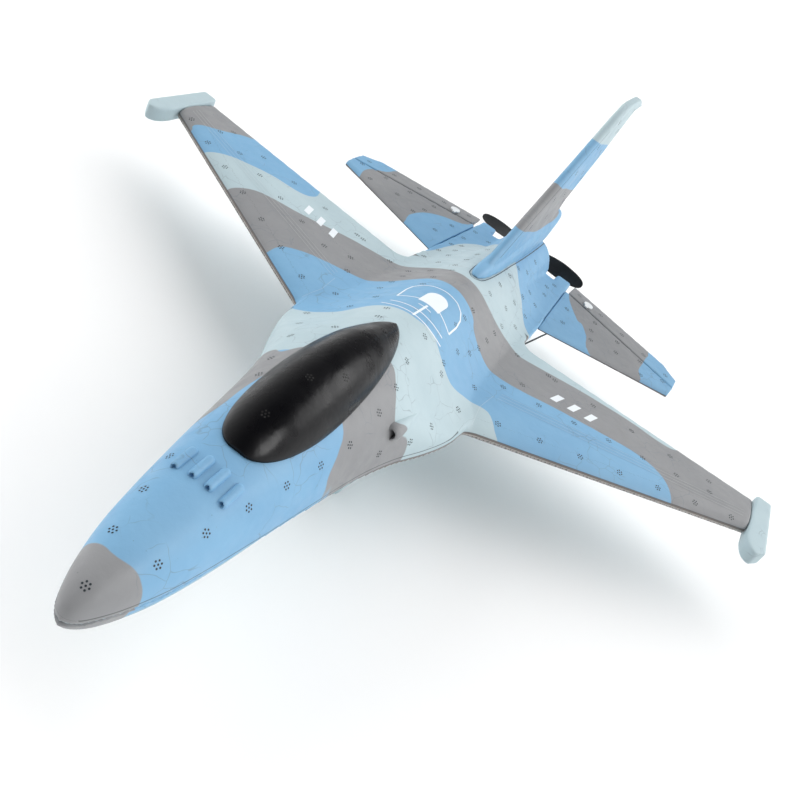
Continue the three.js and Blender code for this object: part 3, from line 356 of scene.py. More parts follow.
def foam_paint(name, painted_highlight=0.0):
    """Sprayed camouflage on moulded foam: uneven tone, fine paint wrinkles with painted shade in them,
    soft grain.
    """
    g = Graph(bpy.data.materials.new(name))
    wander = g.math("MULTIPLY_ADD", g.noise(90, 2), 0.9, -0.45)
    ice = g.ramp(g.math("ADD", g.attribute("ice"), wander), -0.3, 0.3)
    grey = g.ramp(g.math("ADD", g.attribute("grey"), wander), -0.3, 0.3)
    tone = g.blend(grey, g.blend(ice, SKY, ICE), GREY)
    lip = g.attribute("lip")
    bare = g.blend(g.ramp(lip, 0.95, 1.15), BARE, BARE_LIGHT)
    # Darker still lowest on the edge, where it turns under: painted shade.
    bare = g.blend(g.ramp(lip, 1.35, 1.6), bare, BARE_UNDER_SHADE)
    tone = g.blend(g.ramp(lip, 0.0, 0.15), tone, bare)
    # Dark line along the top of the bare lip: painted shade in the parting groove.
    line = g.ramp(g.math("ABSOLUTE", lip), 0.3, 0.0)
    tone = g.blend(g.math("MULTIPLY", line, 0.7), tone, GROOVE_SHADE_TONE)
    # Dark lines along grooves and the hinge: painted shade in them.
    seam = g.ramp(g.math("ABSOLUTE", g.attribute("seam")), 0.42, 0.2)
    tone = g.blend(g.math("MULTIPLY", seam, 0.7), tone, GROOVE_SHADE_TONE)
    # Lightened towards a pale tone: painted highlight.
    if painted_highlight:
        tone = g.blend(painted_highlight, tone, (0.80, 0.84, 0.86, 1))
    cloud = g.ramp(g.noise(26, 4, 0.6), 0.3, 0.7, 0.0, 1.0)
    tone = g.blend(0.3, tone, g.blend(cloud, (0.38, 0.39, 0.40, 1), (0.62, 0.62, 0.62, 1)),
                   "SOFT_LIGHT")
    wrinkled = g.warped(70, 0.010)
    crease = g.ramp(g.voronoi(85, "DISTANCE_TO_EDGE", wrinkled), 0.0, 0.022, 1.0, 0.0)
    patch = g.ramp(g.noise(38, 3), 0.50, 0.60)
    creases = g.math("MULTIPLY", crease, patch)
    # The cracks and folds are darkened towards a dark blue-grey: painted shade in them.
    tone = g.blend(g.math("MULTIPLY", creases, 0.42), tone, (0.14, 0.18, 0.22, 1))
    speck = g.ramp(g.voronoi(310), 0.09, 0.05)
    speck = g.math("MULTIPLY", speck, g.ramp(g.noise(60, 1), 0.55, 0.68))
    tone = g.blend(g.math("MULTIPLY", speck, 0.45), tone, (0.09, 0.11, 0.13, 1))
    rough = g.ramp(g.noise(120, 3), 0.3, 0.7, 0.42, 0.60)
    swell = g.bump(g.noise(48, 3, 0.6), 0.45, 1.2)
    dimple = g.bump(g.ramp(g.voronoi(150, at=wrinkled), 0.0, 0.5), 0.16, 0.3, swell)
    folds = g.bump(creases, -0.9, 0.5, dimple)
    grain = g.bump(g.noise(900, 3, 0.6), 0.35, 0.12, folds)
    g.shade(Base_Color=tone, Roughness=rough, Normal=grain, Specular_IOR_Level=0.35)
    return g.owner


def canopy_skin():
    """Black film over foam: glossy, with a leathery net of wrinkles."""
    g = Graph(bpy.data.materials.new("canopy_black"))
    warped = g.warped(110, 0.006)
    net = g.ramp(g.voronoi(120, "SMOOTH_F1", warped), 0.0, 0.75)
    folds = g.ramp(g.voronoi(75, "DISTANCE_TO_EDGE", warped), 0.0, 0.12, 0.0, 1.0)
    cloud = g.noise(35, 4, 0.6)
    tone = g.blend(g.ramp(cloud, 0.3, 0.7), (0.002, 0.002, 0.003, 1), (0.005, 0.005, 0.006, 1))
    rough = g.ramp(g.noise(90, 3), 0.3, 0.7, 0.24, 0.36)
    low = g.bump(cloud, 0.35, 0.9)
    mid = g.bump(folds, 0.12, 0.2, low)
    fine = g.bump(g.math("MULTIPLY", net, g.noise(420, 2)), 0.3, 0.25, mid)
    g.shade(Base_Color=tone, Roughness=rough, Normal=fine, Specular_IOR_Level=0.24)
    return g.owner


def moulded(name, dark, light, rough, grain=0.2, metal=0.0):
    """Moulded plastic or metal with faint mottling, uneven gloss and fine grain."""
    g = Graph(bpy.data.materials.new(name))
    tone = g.blend(g.ramp(g.noise(140, 4, 0.6), 0.3, 0.7), dark, light)
    return g.finish(tone, g.noise(260, 3), (rough - 0.07, rough + 0.07), g.noise(1500, 3), grain,
                    Metallic=metal)


def carbon_weave():
    """Pultruded carbon rod: fine streaks along X."""
    g = Graph(bpy.data.materials.new("carbon_rod"))
    stretch = g.nodes.new("ShaderNodeMapping")
    g.set(stretch, {"Vector": g.coordinate, "Scale": (25, 1400, 1400)})
    streak = g.noise(1.0, 3, at=stretch.outputs[0])
    tone = g.blend(g.ramp(streak, 0.35, 0.65), (0.012, 0.012, 0.014, 1), (0.05, 0.05, 0.055, 1))
    return g.finish(tone, streak, (0.3, 0.5), streak, 0.3)


def brushed_steel():
    g = Graph(bpy.data.materials.new("steel"))
    streak = g.noise(700, 4, 0.7, 0.3)
    tone = g.blend(streak, (0.42, 0.43, 0.45, 1), (0.62, 0.63, 0.65, 1))
    return g.finish(tone, streak, (0.22, 0.38), streak, 0.15, 0.03, Metallic=0.95)


def circuit_board():
    """Green resist with tinned tracks."""
    g = Graph(bpy.data.materials.new("circuit_board"))
    track = g.ramp(g.voronoi(420, "DISTANCE_TO_EDGE", randomness=0.35), 0.03, 0.06, 1.0, 0.0)
    base = g.blend(g.noise(90, 3), (0.006, 0.055, 0.022, 1), (0.012, 0.10, 0.04, 1))
    tone = g.blend(g.math("MULTIPLY", track, 0.6), base, (0.30, 0.36, 0.20, 1))
    return g.finish(tone, g.noise(200, 2), (0.35, 0.5), track, 0.3)


def marking_white():
    """Printed white film, a little worn through."""
    g = Graph(bpy.data.materials.new("marking_white"))
    worn = g.ramp(g.noise(260, 4, 0.7), 0.62, 0.74, 0.0, 0.55)
    tone = g.blend(worn, colour(232, 238, 243), colour(170, 196, 214))
    return g.finish(tone, g.noise(90, 2), (0.4, 0.55), g.noise(700, 2), 0.2)


def vent_shade_dark():
    """Moulding-vent marks: small dents drawn as flat dark discs, their colour painted shade."""
    g = Graph(bpy.data.materials.new("vent_shade_dark"))
    tone = g.blend(g.noise(300, 3), colour(18, 24, 30), colour(52, 62, 72))
    return g.finish(tone, g.noise(200, 2), (0.6, 0.8), g.noise(900, 2), 0.3)


def floor_paper():
    g = Graph(bpy.data.materials.new("studio_paper"))
    tone = g.blend(g.noise(3.0, 3), (0.96, 0.96, 0.96, 1), (0.99, 0.99, 0.99, 1))
    return g.finish(tone, g.noise(40, 2), (0.75, 0.9), g.noise(600, 2), 0.05)


PAINT = foam_paint("camouflage_foam")
CANOPY_SKIN = canopy_skin()
WHITE_FILM = marking_white()
# Vent dots: dark discs whose colour is painted shade in the moulding's dents; near-black on the canopy.
VENT_SHADE = vent_shade_dark()
VENT_SHADE_BLACK = moulded("vent_shade_black", (0.002, 0.002, 0.002, 1), (0.02, 0.02, 0.02, 1), 0.7)
BLACK_PLASTIC = moulded("black_plastic", (0.006, 0.006, 0.007, 1), (0.014, 0.014, 0.015, 1), 0.36)
WHITE_PLASTIC = moulded("white_plastic", colour(222, 226, 228), colour(240, 242, 243), 0.42)
STEEL = brushed_steel()

# ---- fuselage formulas

strake_half_width = along(
    (NOSE_Y, 0.8), (-235, 4.2), (-229, 7.8), (-218, 12.2), (-198, 17.6), (-158, 24),
    (-118, 29.2), (-98, 31.9), (-78, 35.3), (-58, 40.4), (-38, 47.6), (-18, 53.2), (0, 55))
spine_height = along(
    (NOSE_Y, 2), (-236, 6), (-226, 13.5), (-200, 21.5), (-150, 30), (-100, 36), (-60, 38.5),
    (-20, 37), (40, 31), (110, 24), (170, 18), (254, 12.5))
edge_height = along(
    (NOSE_Y, 1.2), (-20, 1.6), (15, 5.2), (60, 4.8), (125, 0.8), (165, -3), (DECK_END_Y, -3.6))
parting_height = along(
    (NOSE_Y, 0), (-150, -0.5), (-60, -2.5), (0, -3), (110, -3), (160, -9), (DECK_END_Y, -9))
bell_share = along((-130, 0), (-60, 0.18), (-20, 0.75), (20, 1), (200, 1))
nozzle_share = along((170, 0), (235, 0.85), (NOZZLE_END_Y, 1))
NOSE_POWER = 2.4


def half_width(y):
    if y <= 0:
        return strake_half_width(y)
    if y <= ROOT_TRAIL_Y:
        return mix(WING_ROOT_X, ROOT_TRAIL_X, y / ROOT_TRAIL_Y)
    if y <= STAB_FRONT_Y:
        return mix(ROOT_TRAIL_X, STAB_FRONT_X, (y - ROOT_TRAIL_Y) / (STAB_FRONT_Y - ROOT_TRAIL_Y))
    return mix(STAB_FRONT_X, SHELF_X, (y - STAB_FRONT_Y) / (DECK_END_Y - STAB_FRONT_Y))


def deck_height(x, y):
    t = min(abs(x) / half_width(y), 1)
    low = edge_height(y)
    high = spine_height(y)
    dome = (1 - t ** NOSE_POWER) ** (1 / NOSE_POWER)
    bell = math.cos(math.pi / 2 * t) ** 2
    blend = low + (high - low) * mix(dome, bell, bell_share(y))
    share = nozzle_share(y)
    if share <= 0:
        return blend
    inside = max(NOZZLE_RADIUS ** 2 - x * x, 0)
    return mix(blend, max(NOZZLE_Z + math.sqrt(inside), low), share)


def wing_lead(x):
    return mix(0, WING_TIP_LEAD_Y, (x - WING_ROOT_X) / (WING_TIP_X - WING_ROOT_X))


def wing_trail(x):
    straight = mix(FILLET_Y, WING_TIP_TRAIL_Y, (x - FILLET_X) / (WING_TIP_X - FILLET_X))
    reach = max(FILLET_X - x, 0) / (FILLET_X - ROOT_TRAIL_X)
    return straight + (ROOT_TRAIL_Y - FILLET_Y) * min(reach, 1) ** 2


# ---- upper moulding

WING_EDGE = 1
WING_CREST = 0.28
UNDER_FLAT = 0.03
ROOT_AND_TIP_RISE = (6.4, 4.4)
ROOT_AND_TIP_DROP = (3, 2.2)


def wing_top(c, high):
    if c < WING_CREST:
        return high * math.sqrt(1 - (1 - c / WING_CREST) ** 2)
    return mix(high, WING_EDGE, ((c - WING_CREST) / (1 - WING_CREST)) ** 1.4)


def wing_bottom(c, low):
    if c < UNDER_FLAT:
        return -low * math.sqrt(1 - (1 - c / UNDER_FLAT) ** 2)
    return -mix(low, WING_EDGE, (c - UNDER_FLAT) / (1 - UNDER_FLAT))


def wing_ring(x):
    t = (x - WING_ROOT_X) / (WING_TIP_X - WING_ROOT_X)
    lead = wing_lead(x)
    chord = wing_trail(x) - lead
    high = mix(*ROOT_AND_TIP_RISE, t)
    low = mix(*ROOT_AND_TIP_DROP, t)
    chords = [s * s for s in spread(0, 1, 26)]
    upper = [(x, lead + c * chord, wing_top(c, high)) for c in reversed(chords)]
    lower = [(x, lead + c * chord, wing_bottom(c, low)) for c in chords[1:]]
    return upper + lower


def wing_panel():
    stations = spread(WING_INNER_X, ROOT_TRAIL_X, 1) + spread(ROOT_TRAIL_X, FILLET_X, 6)[1:]
    stations += spread(FILLET_X, WING_TIP_X, 40)[1:]
    return solid("wing", [wing_ring(x) for x in stations])


NOSE_STEPS = (0, 0.3, 0.8, 1.6, 3, 5, 7.5)
STATION_STEP = 3.2


def body_stations(end):
    """Lengthwise places for rings: close together at the tip of the nose, then even."""
    near = [NOSE_Y + d for d in NOSE_STEPS]
    return near + spread(NOSE_Y + 10, end, round((end - NOSE_Y) / STATION_STEP))


def deck_ring(y):
    half = half_width(y)
    xs = [half * math.sin(math.pi / 2 * t) for t in spread(-1, 1, 64)]
    low = parting_height(y)
    return [(x, y, deck_height(x, y)) for x in xs] + [(half, y, low), (-half, y, low)]


SPAR_Y = 76
SPAR_HALF = 158
SPAR_RADIUS = 1.5


def bay_outline(grow=0):
    corner = BAY_CORNER + grow
    half = BAY_HALF + grow
    front = BAY_FRONT_Y - grow
    rear = BAY_REAR_Y + grow
    corners = ((half, front, -90), (half, rear, 0), (-half, rear, 90), (-half, front, 180))
    outline = []
    for x, y, start in corners:
        cx = x - math.copysign(corner, x)
        cy = y - math.copysign(corner, y - (BAY_FRONT_Y + BAY_REAR_Y) / 2)
        for turn in spread(start, start + 90, 8):
            a = math.radians(turn)
            outline.append((cx + corner * math.cos(a), cy + corner * math.sin(a)))
    return outline


def nozzle_bore():
    return prism("bore", circle(0, NOZZLE_Z, NOZZLE_BORE), BORE_FRONT_Y, DECK_END_Y + 1, "y")


def magnet_pockets(low, high):
    """Round holes at both magnets, between two heights measured from the deck."""
    return [prism("pocket", circle(0, y, POCKET_RADIUS, 24),
                  deck_height(3, y) + low, deck_height(3, y) + high) for y in MAGNET_YS]


def upper_cutters():
    groove_top = -3 + 2 * SPAR_RADIUS + GAP
    reach = SPAR_RADIUS + GAP
    cutters = [
        block("spar_slot", (-SPAR_HALF - GAP, SPAR_Y - reach, -40),
              (SPAR_HALF + GAP, SPAR_Y + reach, groove_top)),
        block("trim", (-NOZZLE_RADIUS - TRIM_GAP, NOZZLE_END_Y, -40),
              (NOZZLE_RADIUS + TRIM_GAP, DECK_END_Y + 1, 40)),
        nozzle_bore(),
        prism("bay", bay_outline(), -20, 60),
    ]
    for side in (-1, 1):
        near, far = sorted((side * (NOZZLE_RADIUS + TRIM_GAP), side * SHELF_INNER_X))
        cutters.append(block("notch", (near, NOTCH_Y, -30), (far, DECK_END_Y + 1, 20)))
    return cutters + magnet_pockets(-GAP - POCKET_DEPTH, 20)


def upper_moulding():
    body = solid("upper_fuselage_and_wing_foam", [deck_ring(y) for y in body_stations(DECK_END_Y)])
    wing = wing_panel()
    boolean(body, [wing, mirrored(wing, "other_wing")], "UNION")
    boolean(body, upper_cutters(), "DIFFERENCE")
    return softened(body)


# ---- lower moulding

BELLY_FRONT_Y = -58
BELLY_HALF = 27
BELLY_CORNER = 14
BELLY_FLAT_END_Y = 125
LIP_RAKE = 0.3
CHIN_WIDTH = 28
CHIN_BLEND = 8
CHIN_SQUARENESS = 2 / 2.2

chin_bottom = along(
    (NOSE_Y, -2.2), (-234, -5.5), (-225, -11.5), (-205, -17.5), (-175, -22.5), (-130, -27),
    (-80, -30), (-30, -31))


def chin_ring(y):
    top = parting_height(y) - GAP
    half = (half_width(y) ** -CHIN_BLEND + CHIN_WIDTH ** -CHIN_BLEND) ** (-1 / CHIN_BLEND)
    under = top - 1.2
    inner = max(half - 1.5, 0.6 * half)
    depth = max(under - chin_bottom(y), 0.4)
    arc = []
    for angle in spread(0, math.pi, 40):
        c, s = math.cos(angle), math.sin(angle)
        x = inner * math.copysign(abs(c) ** CHIN_SQUARENESS, c)
        arc.append((x, y, under - depth * abs(s) ** CHIN_SQUARENESS))
    lip = [(-half, under + 0.1), (-half, top), (half, top), (half, under + 0.1)]
    return [(x, y, z) for x, z in lip] + arc


def belly_ring(y, shrink=0):
    t = ease((y - BELLY_FLAT_END_Y) / (NOZZLE_END_Y - BELLY_FLAT_END_Y))
    front = ease((BELLY_FRONT_Y + 40 - y) / 40)
    top = parting_height(y) - GAP
    bottom = mix(-BELLY_DEPTH, NOZZLE_Z - NOZZLE_RADIUS, t)
    side = mix(BELLY_HALF, NOZZLE_RADIUS, t) - 2 * front - shrink
    corner = min(mix(BELLY_CORNER, NOZZLE_RADIUS, t), top - bottom - 0.1)
    radius = max(corner - shrink, 1)
    floor = bottom + shrink
    arcs = [(sign * (side - radius + radius * math.cos(a)), floor + radius - radius * math.sin(a))
            for sign, turns in ((1, (0, 90)), (-1, (90, 0)))
            for a in map(math.radians, spread(*turns, 14))]
    outline = [(-side, top), (side, top)] + arcs
    return [(x, y + LIP_RAKE * front * (top - z), z) for x, z in outline]


INTAKE_WALL = 4
INTAKE_DEPTH = 34
INTAKE_TOP_Z = -34


def intake_pocket():
    rings = []
    for y in (BELLY_FRONT_Y - 20, BELLY_FRONT_Y, BELLY_FRONT_Y + INTAKE_DEPTH):
        ring = belly_ring(max(y, BELLY_FRONT_Y), INTAKE_WALL)
        rings.append([(x, y, min(z, INTAKE_TOP_Z)) for x, _, z in ring])
    return solid("intake", rings)


HINGE_START_X = 42.6
HINGE_START_Y = 237.6
HINGE_END_Y = 223.4
STAB_TIP_X = 140.5


def stab_mid(x):
    """Height of the drooping tailplane's middle plane."""
    return mix(-6, -11.5, (x - STAB_FRONT_X) / (STAB_TIP_X - STAB_FRONT_X))


def hinge_y(x):
    return mix(HINGE_START_Y, HINGE_END_Y, (x - HINGE_START_X) / (STAB_TIP_X - HINGE_START_X))


HINGE_INNER = Vector((HINGE_START_X, HINGE_START_Y, stab_mid(HINGE_START_X)))
HINGE_OUTER = Vector((STAB_TIP_X, HINGE_END_Y, stab_mid(STAB_TIP_X)))
HINGE_AXIS = (HINGE_OUTER - HINGE_INNER).normalized()
SERVO_SHAFT = Vector((30.1, 124, -13))


def framed_block(name, low, high, origin):
    """Block about an origin, with x along the left hinge line, y aft and z up."""
    aft = Vector((0, 0, 1)).cross(HINGE_AXIS).normalized()
    up = HINGE_AXIS.cross(aft)
    turn = Matrix((HINGE_AXIS, aft, up)).transposed().to_4x4()
    (x0, y0, z0), (x1, y1, z1) = low, high
    corners = [(x0, y0), (x1, y0), (x1, y1), (x0, y1)]
    rings = [[tuple(origin + turn @ Vector((x, y, z))) for x, y in corners] for z in (z0, z1)]
    return solid(name, rings)


def servo_pocket():
    """Room for the servo's ears and, deeper in, for its case."""
    half, outer = 4.6, 12
    return [framed_block("ears", (-6.3, -9.3, -half), (outer, 19.3, half), SERVO_SHAFT),
            framed_block("case", (-16.3, -5.3, -half), (outer, 15.3, half), SERVO_SHAFT)]


def lower_cutters():
    cutters = [
        intake_pocket(),
        prism("bay", bay_outline(), BAY_FLOOR_Z, 20),
        block("board", (-11.5, -58, BAY_FLOOR_Z), (11.5, -8, 5)),
        block("tunnel", (-5, -10, DUCT_FLOOR_Z), (5, BORE_FRONT_Y + 2, 5)),
        block("branch", (-16, 121, DUCT_FLOOR_Z), (16, 130, 5)),
        nozzle_bore(),
    ]
    for cutter in servo_pocket():
        cutters += [cutter, mirrored(cutter, "other_pocket")]
    return cutters


def lower_moulding():
    chin = [y for y in body_stations(-30) if y < -30] + [-30]
    body = solid("lower_fuselage_foam", [chin_ring(y) for y in chin])
    belly = [belly_ring(y) for y in spread(BELLY_FRONT_Y, NOZZLE_END_Y, 100)]
    boolean(body, [solid("belly", belly)], "UNION")
    boolean(body, lower_cutters(), "DIFFERENCE")
    return softened(body, 1.1)


# ---- camouflage

def rounded(points, steps=4):
    """Closed smooth outline through given points."""
    p = np.array(points, float)
    before, after, beyond = np.roll(p, 1, 0), np.roll(p, -1, 0), np.roll(p, -2, 0)
    rows = []
    for s in range(steps):
        t = s / steps
        rows.append(0.5 * (2 * p + (after - before) * t
                           + (2 * before - 5 * p + 4 * after - beyond) * t ** 2
                           + (3 * p - before - 3 * after + beyond) * t ** 3))
    return np.stack(rows, 1).reshape(-1, 2)


def inside_by(points, outline):
    """Distance inside a closed outline, negative outside it."""
    best = np.full(len(points), 1e9)
    inside = np.zeros(len(points), bool)
    for a, b in zip(outline, np.roll(outline, -1, 0)):
        run = b - a
        length = max(run @ run, 1e-9)
        t = np.clip((points - a) @ run / length, 0, 1)
        best = np.minimum(best, np.linalg.norm(points - a - t[:, None] * run, axis=1))
        crosses = (a[1] > points[:, 1]) != (b[1] > points[:, 1])
        height = run[1] if abs(run[1]) > 1e-9 else 1e-9
        inside ^= crosses & (points[:, 0] < a[0] + (points[:, 1] - a[1]) * run[0] / height)
    return np.where(inside, best, -best)


GREY_MAIN = [
    (170, 66), (160, 77), (153, 82), (145, 85), (133, 85), (118, 81), (89, 72), (59, 61),
    (41, 59), (24, 62), (17, 69), (-1, 72), (-17, 75), (-34, 65), (-48, 55), (-70, 45),
    (-88, 33), (-95, 18), (-120, 20), (-150, 38), (-143, 50), (-139, 57), (-127, 68),
    (-103, 77), (-84, 87), (-69, 94), (-45, 102), (-28, 110), (-2, 98), (18, 98), (38, 105),
    (49, 101), (64, 105), (94, 114), (124, 120), (148, 121), (158, 127), (165, 145),
    (235, 150), (235, 60), (190, 55),
]
GREY_RIGHT_TIP = [(-196, 82), (-196, 90), (-187, 102), (-179, 119), (-177, 135), (-235, 150),
                  (-235, 60)]
GREY_LEFT_SHOULDER = [
    (13, -46), (21, -52), (28, -61), (33, -64), (37, -59), (42, -53), (60, -49), (55, -104),
    (33, -105), (30, -112), (28, -114), (25, -107), (19, -100), (0, -95), (0, -55),
]
GREY_RIGHT_SHOULDER = [
    (-18, -76), (-25, -81), (-32, -75), (-50, -70), (-45, -118), (-33, -142), (-24, -140),
    (-21, -130), (-21, -118), (-19, -100),
]
GREY_NOSE = [(-45, -213), (-12, -215), (0, -216.5), (12, -214), (45, -210), (45, -265),
             (-45, -265)]
ICE_CANOPY = [
    (-62, -12), (-51, -11), (-37, -9), (-30, -8), (-24, -2), (-17, 3), (2, 3), (13, 9),
    (24, 7), (35, 8), (46, 17), (58, 21), (67, 13), (74, 4), (70, -40), (60, -72), (0, -84),
    (-22, -79), (-45, -77), (-62, -60),
]
ICE_REAR = [
    (170, 140), (140, 102), (100, 95), (60, 82), (20, 83), (-20, 92), (-60, 72), (-100, 55),
    (-130, 52), (-150, 35), (-190, 45), (-176, 70), (-171, 75), (-157, 86), (-138, 97),
    (-119, 102), (-113, 112), (-116, 128), (-110, 145), (-58, 150), (-44, 153), (-39, 174),
    (-33, 197), (-20, 208), (0, 190), (11, 176), (18, 167), (27, 160), (43, 140), (60, 138),
]
STAB_GREY_LEFT = [(44, 236), (59, 212), (65, 210), (72, 199), (80, 184), (110, 185),
                  (119, 200), (114, 211), (114, 230), (109, 255), (60, 270), (44, 262)]
STAB_GREY_RIGHT = [(-75, 176), (-75, 190), (-72, 204), (-67, 213), (-60, 220), (-44, 232),
                   (-44, 262), (-60, 270), (-109, 256), (-117, 234), (-125, 222), (-124, 205),
                   (-112, 188)]
FIN_GREY = [(135, 52), (153, 47), (168, 43), (202, 34), (228, 32), (250, 33), (268, 42),
            (264, 52), (240, 58), (215, 65), (192, 71), (175, 84), (120, 70)]
FIN_ICE = [(215, 104), (232, 97), (250, 93), (270, 89), (300, 82), (345, 80), (345, 130),
           (225, 130)]


FAR = 5.0
DEEP = 20.0


def paint(obj, grey=(), ice=(), plane=(0, 1), under_ice=True, lip_height=None, seam=None,
          ice_below=None):
    """Stores how far each vertex lies inside the paint patches, the bare lip and the grooves drawn as
    painted shade.
    """
    mesh = obj.data
    count = len(mesh.vertices)
    spots = np.empty(count * 3)
    mesh.vertices.foreach_get("co", spots)
    spots = spots.reshape(-1, 3) / MM + (0, CENTRE_Y, -BELLY_DEPTH)
    normals = np.empty(count * 3)
    mesh.vertex_normals.foreach_get("vector", normals)
    facing = normals.reshape(-1, 3)[:, 2]
    flat = spots[:, plane]
    values = {}
    for name, outlines in (("grey", grey), ("ice", ice)):
        best = np.full(count, -DEEP)
        for outline in outlines:
            best = np.maximum(best, inside_by(flat, rounded(outline)))
        values[name] = best
    lip = np.full(count, -FAR)
    if under_ice:
        below = facing < -0.45
        values["grey"] = np.where(below, -DEEP, values["grey"])
        values["ice"] = np.where(below, DEEP, values["ice"])
    if lip_height is not None:
        lip = np.minimum(lip_height(*flat.T) - spots[:, 2], (facing + 0.8) * 4)
    if ice_below is not None:
        values["ice"] = np.maximum(values["ice"], ice_below - spots[:, 2])
    values["lip"] = lip
    values["seam"] = np.full(count, FAR) if seam is None else seam(*spots.T)
    for name, row in values.items():
        mesh.attributes.new(name, "FLOAT", "POINT").data.foreach_set("value", row)


def paint_plain(obj, ice=DEEP):
    """The same attributes for a piece that is all one colour."""
    for name, value in (("grey", -DEEP), ("ice", ice), ("lip", -FAR), ("seam", FAR)):
        layer = obj.data.attributes.new(name, "FLOAT", "POINT")
        layer.data.foreach_set("value", np.full(len(obj.data.vertices), value))


# ---- build: mouldings

upper = upper_moulding()
BODY_PATCHES = {
    "grey": (GREY_MAIN, GREY_RIGHT_TIP, GREY_LEFT_SHOULDER, GREY_RIGHT_SHOULDER, GREY_NOSE),
    "ice": (ICE_CANOPY, ICE_REAR),
}


def wing_lip(x, y):
    """Height of the bare moulded edge: most on the wings' front, none behind the wings."""
    reach = np.clip((abs(x) - 50) / 10, 0, 1)
    front = y < wing_lead(abs(x)) + 7
    return np.where(y > WING_TIP_TRAIL_Y + 3, -BELLY_DEPTH, np.where(front, 1.3 * reach - 0.2, -0.2))


def chine_groove(x, y, z):
    """Fine groove just above the moulding's edge, along the nose and strakes, drawn as a line of painted
    shade.
    """
    table = np.arange(NOSE_Y, 0)
    edge = np.interp(y, table, [edge_height(v) for v in table])
    half = np.interp(y, table, [half_width(v) for v in table])
    groove = z - edge - 1.2
    near = (y < -8) & (abs(x) > 0.7 * half) & (y > NOSE_Y + 3)
    return np.where(near, groove, np.copysign(FAR, groove))


# Hinge line between stabiliser and elevator, darkened as painted shade.
def hinge_groove(x, y, z):
    return 0.6 * (y - hinge_y(abs(x)) - 0.1)


def fin_groove(x, y, z):
    """Shallow line that runs up the fin just behind its leading edge, drawn as painted shade."""
    groove = y - np.interp(z, FIN_HEIGHTS, FIN_LEADS) - 4.6
    return np.where((z > 32) & (z < 104), groove, np.copysign(FAR, groove))


paint(upper, **BODY_PATCHES, lip_height=wing_lip, seam=chine_groove)
finish_piece(upper, PAINT, nodes=["upper_fuselage_and_wing"])

lower = lower_moulding()
paint(lower, (GREY_NOSE,), under_ice=False, ice_below=-7)
finish_piece(lower, PAINT, nodes=["lower_fuselage"])


# ---- raised details

def capsule(name, start, end, radius, rings=8, count=20):
    """Round-ended bar between two points."""
    start, end = Vector(start), Vector(end)
    aim = (end - start).normalized()
    across = aim.cross(Vector((1, 0, 0))).normalized()
    other = aim.cross(across)
    stops = [(start, -radius * math.cos(a), radius * math.sin(a))
             for a in spread(0.12, math.pi / 2, rings)]
    stops += [(end, radius * math.sin(a), radius * math.cos(a))
              for a in spread(0, math.pi / 2 - 0.12, rings)]
    rows = []
    for base, step, reach in stops:
        middle = base + aim * step
        rows.append([tuple(middle + across * (reach * math.cos(t)) + other * (reach * math.sin(t)))
                     for t in (2 * math.pi * i / count for i in range(count))])
    return solid(name, rows)


RIB_COUNT = 4
RIB_PITCH = 7.4
RIB_YS = (-173.9, -164.6)
RIB_RADIUS = 2.1


def nose_ribs():
    """Raised ribs across the nose, each with a round open front."""
    for i in range(RIB_COUNT):
        x = (i - (RIB_COUNT - 1) / 2) * RIB_PITCH
        ends = [(x, y, deck_height(x, y)) for y in RIB_YS]
        rib = capsule(f"nose_rib_{i + 1}", *ends, RIB_RADIUS)
        hole = capsule("hole", (x, -180, deck_height(x, -176) - 0.3),
                       (x, -174.4, deck_height(x, -174) + 0.6), 1.0, 5, 16)
        boolean(rib, [hole], "DIFFERENCE")
        softened(rib, 0.3, 4)
        paint_plain(rib, -DEEP)
        finish_piece(rib, PAINT)


def gun_scoop():
    """Teardrop gun port fairing on the left strake, open at the front."""
    x, front, rear, radius = 33.5, -69, -37, 4.2
    size = along((0, 0.72), (0.06, 1), (0.2, 0.98), (0.45, 0.75), (0.75, 0.4), (1, 0.08))
    front_z = deck_height(x, front) + 0.5
    rear_z = deck_height(x, rear) - 1.5
    rings = []
    for t in spread(0, 1, 30):
        r = radius * size(t)
        outline = circle(x + 1.5 * t, mix(front_z, rear_z, t), r, 28)
        rings.append([(a, mix(front, rear, t), b) for a, b in outline])
    scoop = solid("gun_scoop", rings)
    bore = prism("bore", circle(x, front_z + 0.1, 2.3, 24), front - 6, front + 7, "y")
    boolean(scoop, [bore], "DIFFERENCE")
    softened(scoop, 0.5, 3)
    paint(scoop, (GREY_LEFT_SHOULDER,), (ICE_CANOPY,), under_ice=False)
    return finish_piece(scoop, PAINT)


nose_ribs()
gun_scoop()


# ---- canopy

CANOPY_FRONT_Y = -154
CANOPY_WIDEST_Y = -104
CANOPY_REAR_Y = -19.5
CANOPY_HALF = 18.6
canopy_rise = along(
    (CANOPY_FRONT_Y, 0.6), (-148, 5), (-132, 9.5), (-100, 12), (-62, 8.5), (-35, 3.2),
    (CANOPY_REAR_Y, 0.6))


def canopy_half(y):
    if y < CANOPY_WIDEST_Y:
        t = (CANOPY_WIDEST_Y - y) / (CANOPY_WIDEST_Y - CANOPY_FRONT_Y)
        return CANOPY_HALF * max(1 - t * t, 0) ** 0.38
    t = (y - CANOPY_WIDEST_Y) / (CANOPY_REAR_Y - CANOPY_WIDEST_Y)
    return CANOPY_HALF * max(1 - t * t, 0) ** 0.62


def canopy_ring(y):
    half = canopy_half(y)
    row = [math.sin(math.pi / 2 * t) for t in spread(-1, 1, 44)]
    top, bottom = [], []
    for v in row:
        x = v * half
        base = deck_height(x, y) + GAP
        top.append((x, y, base + 0.8 + canopy_rise(y) * (1 - v * v) ** 0.6))
        bottom.append((x, y, base))
    return top + bottom[::-1]


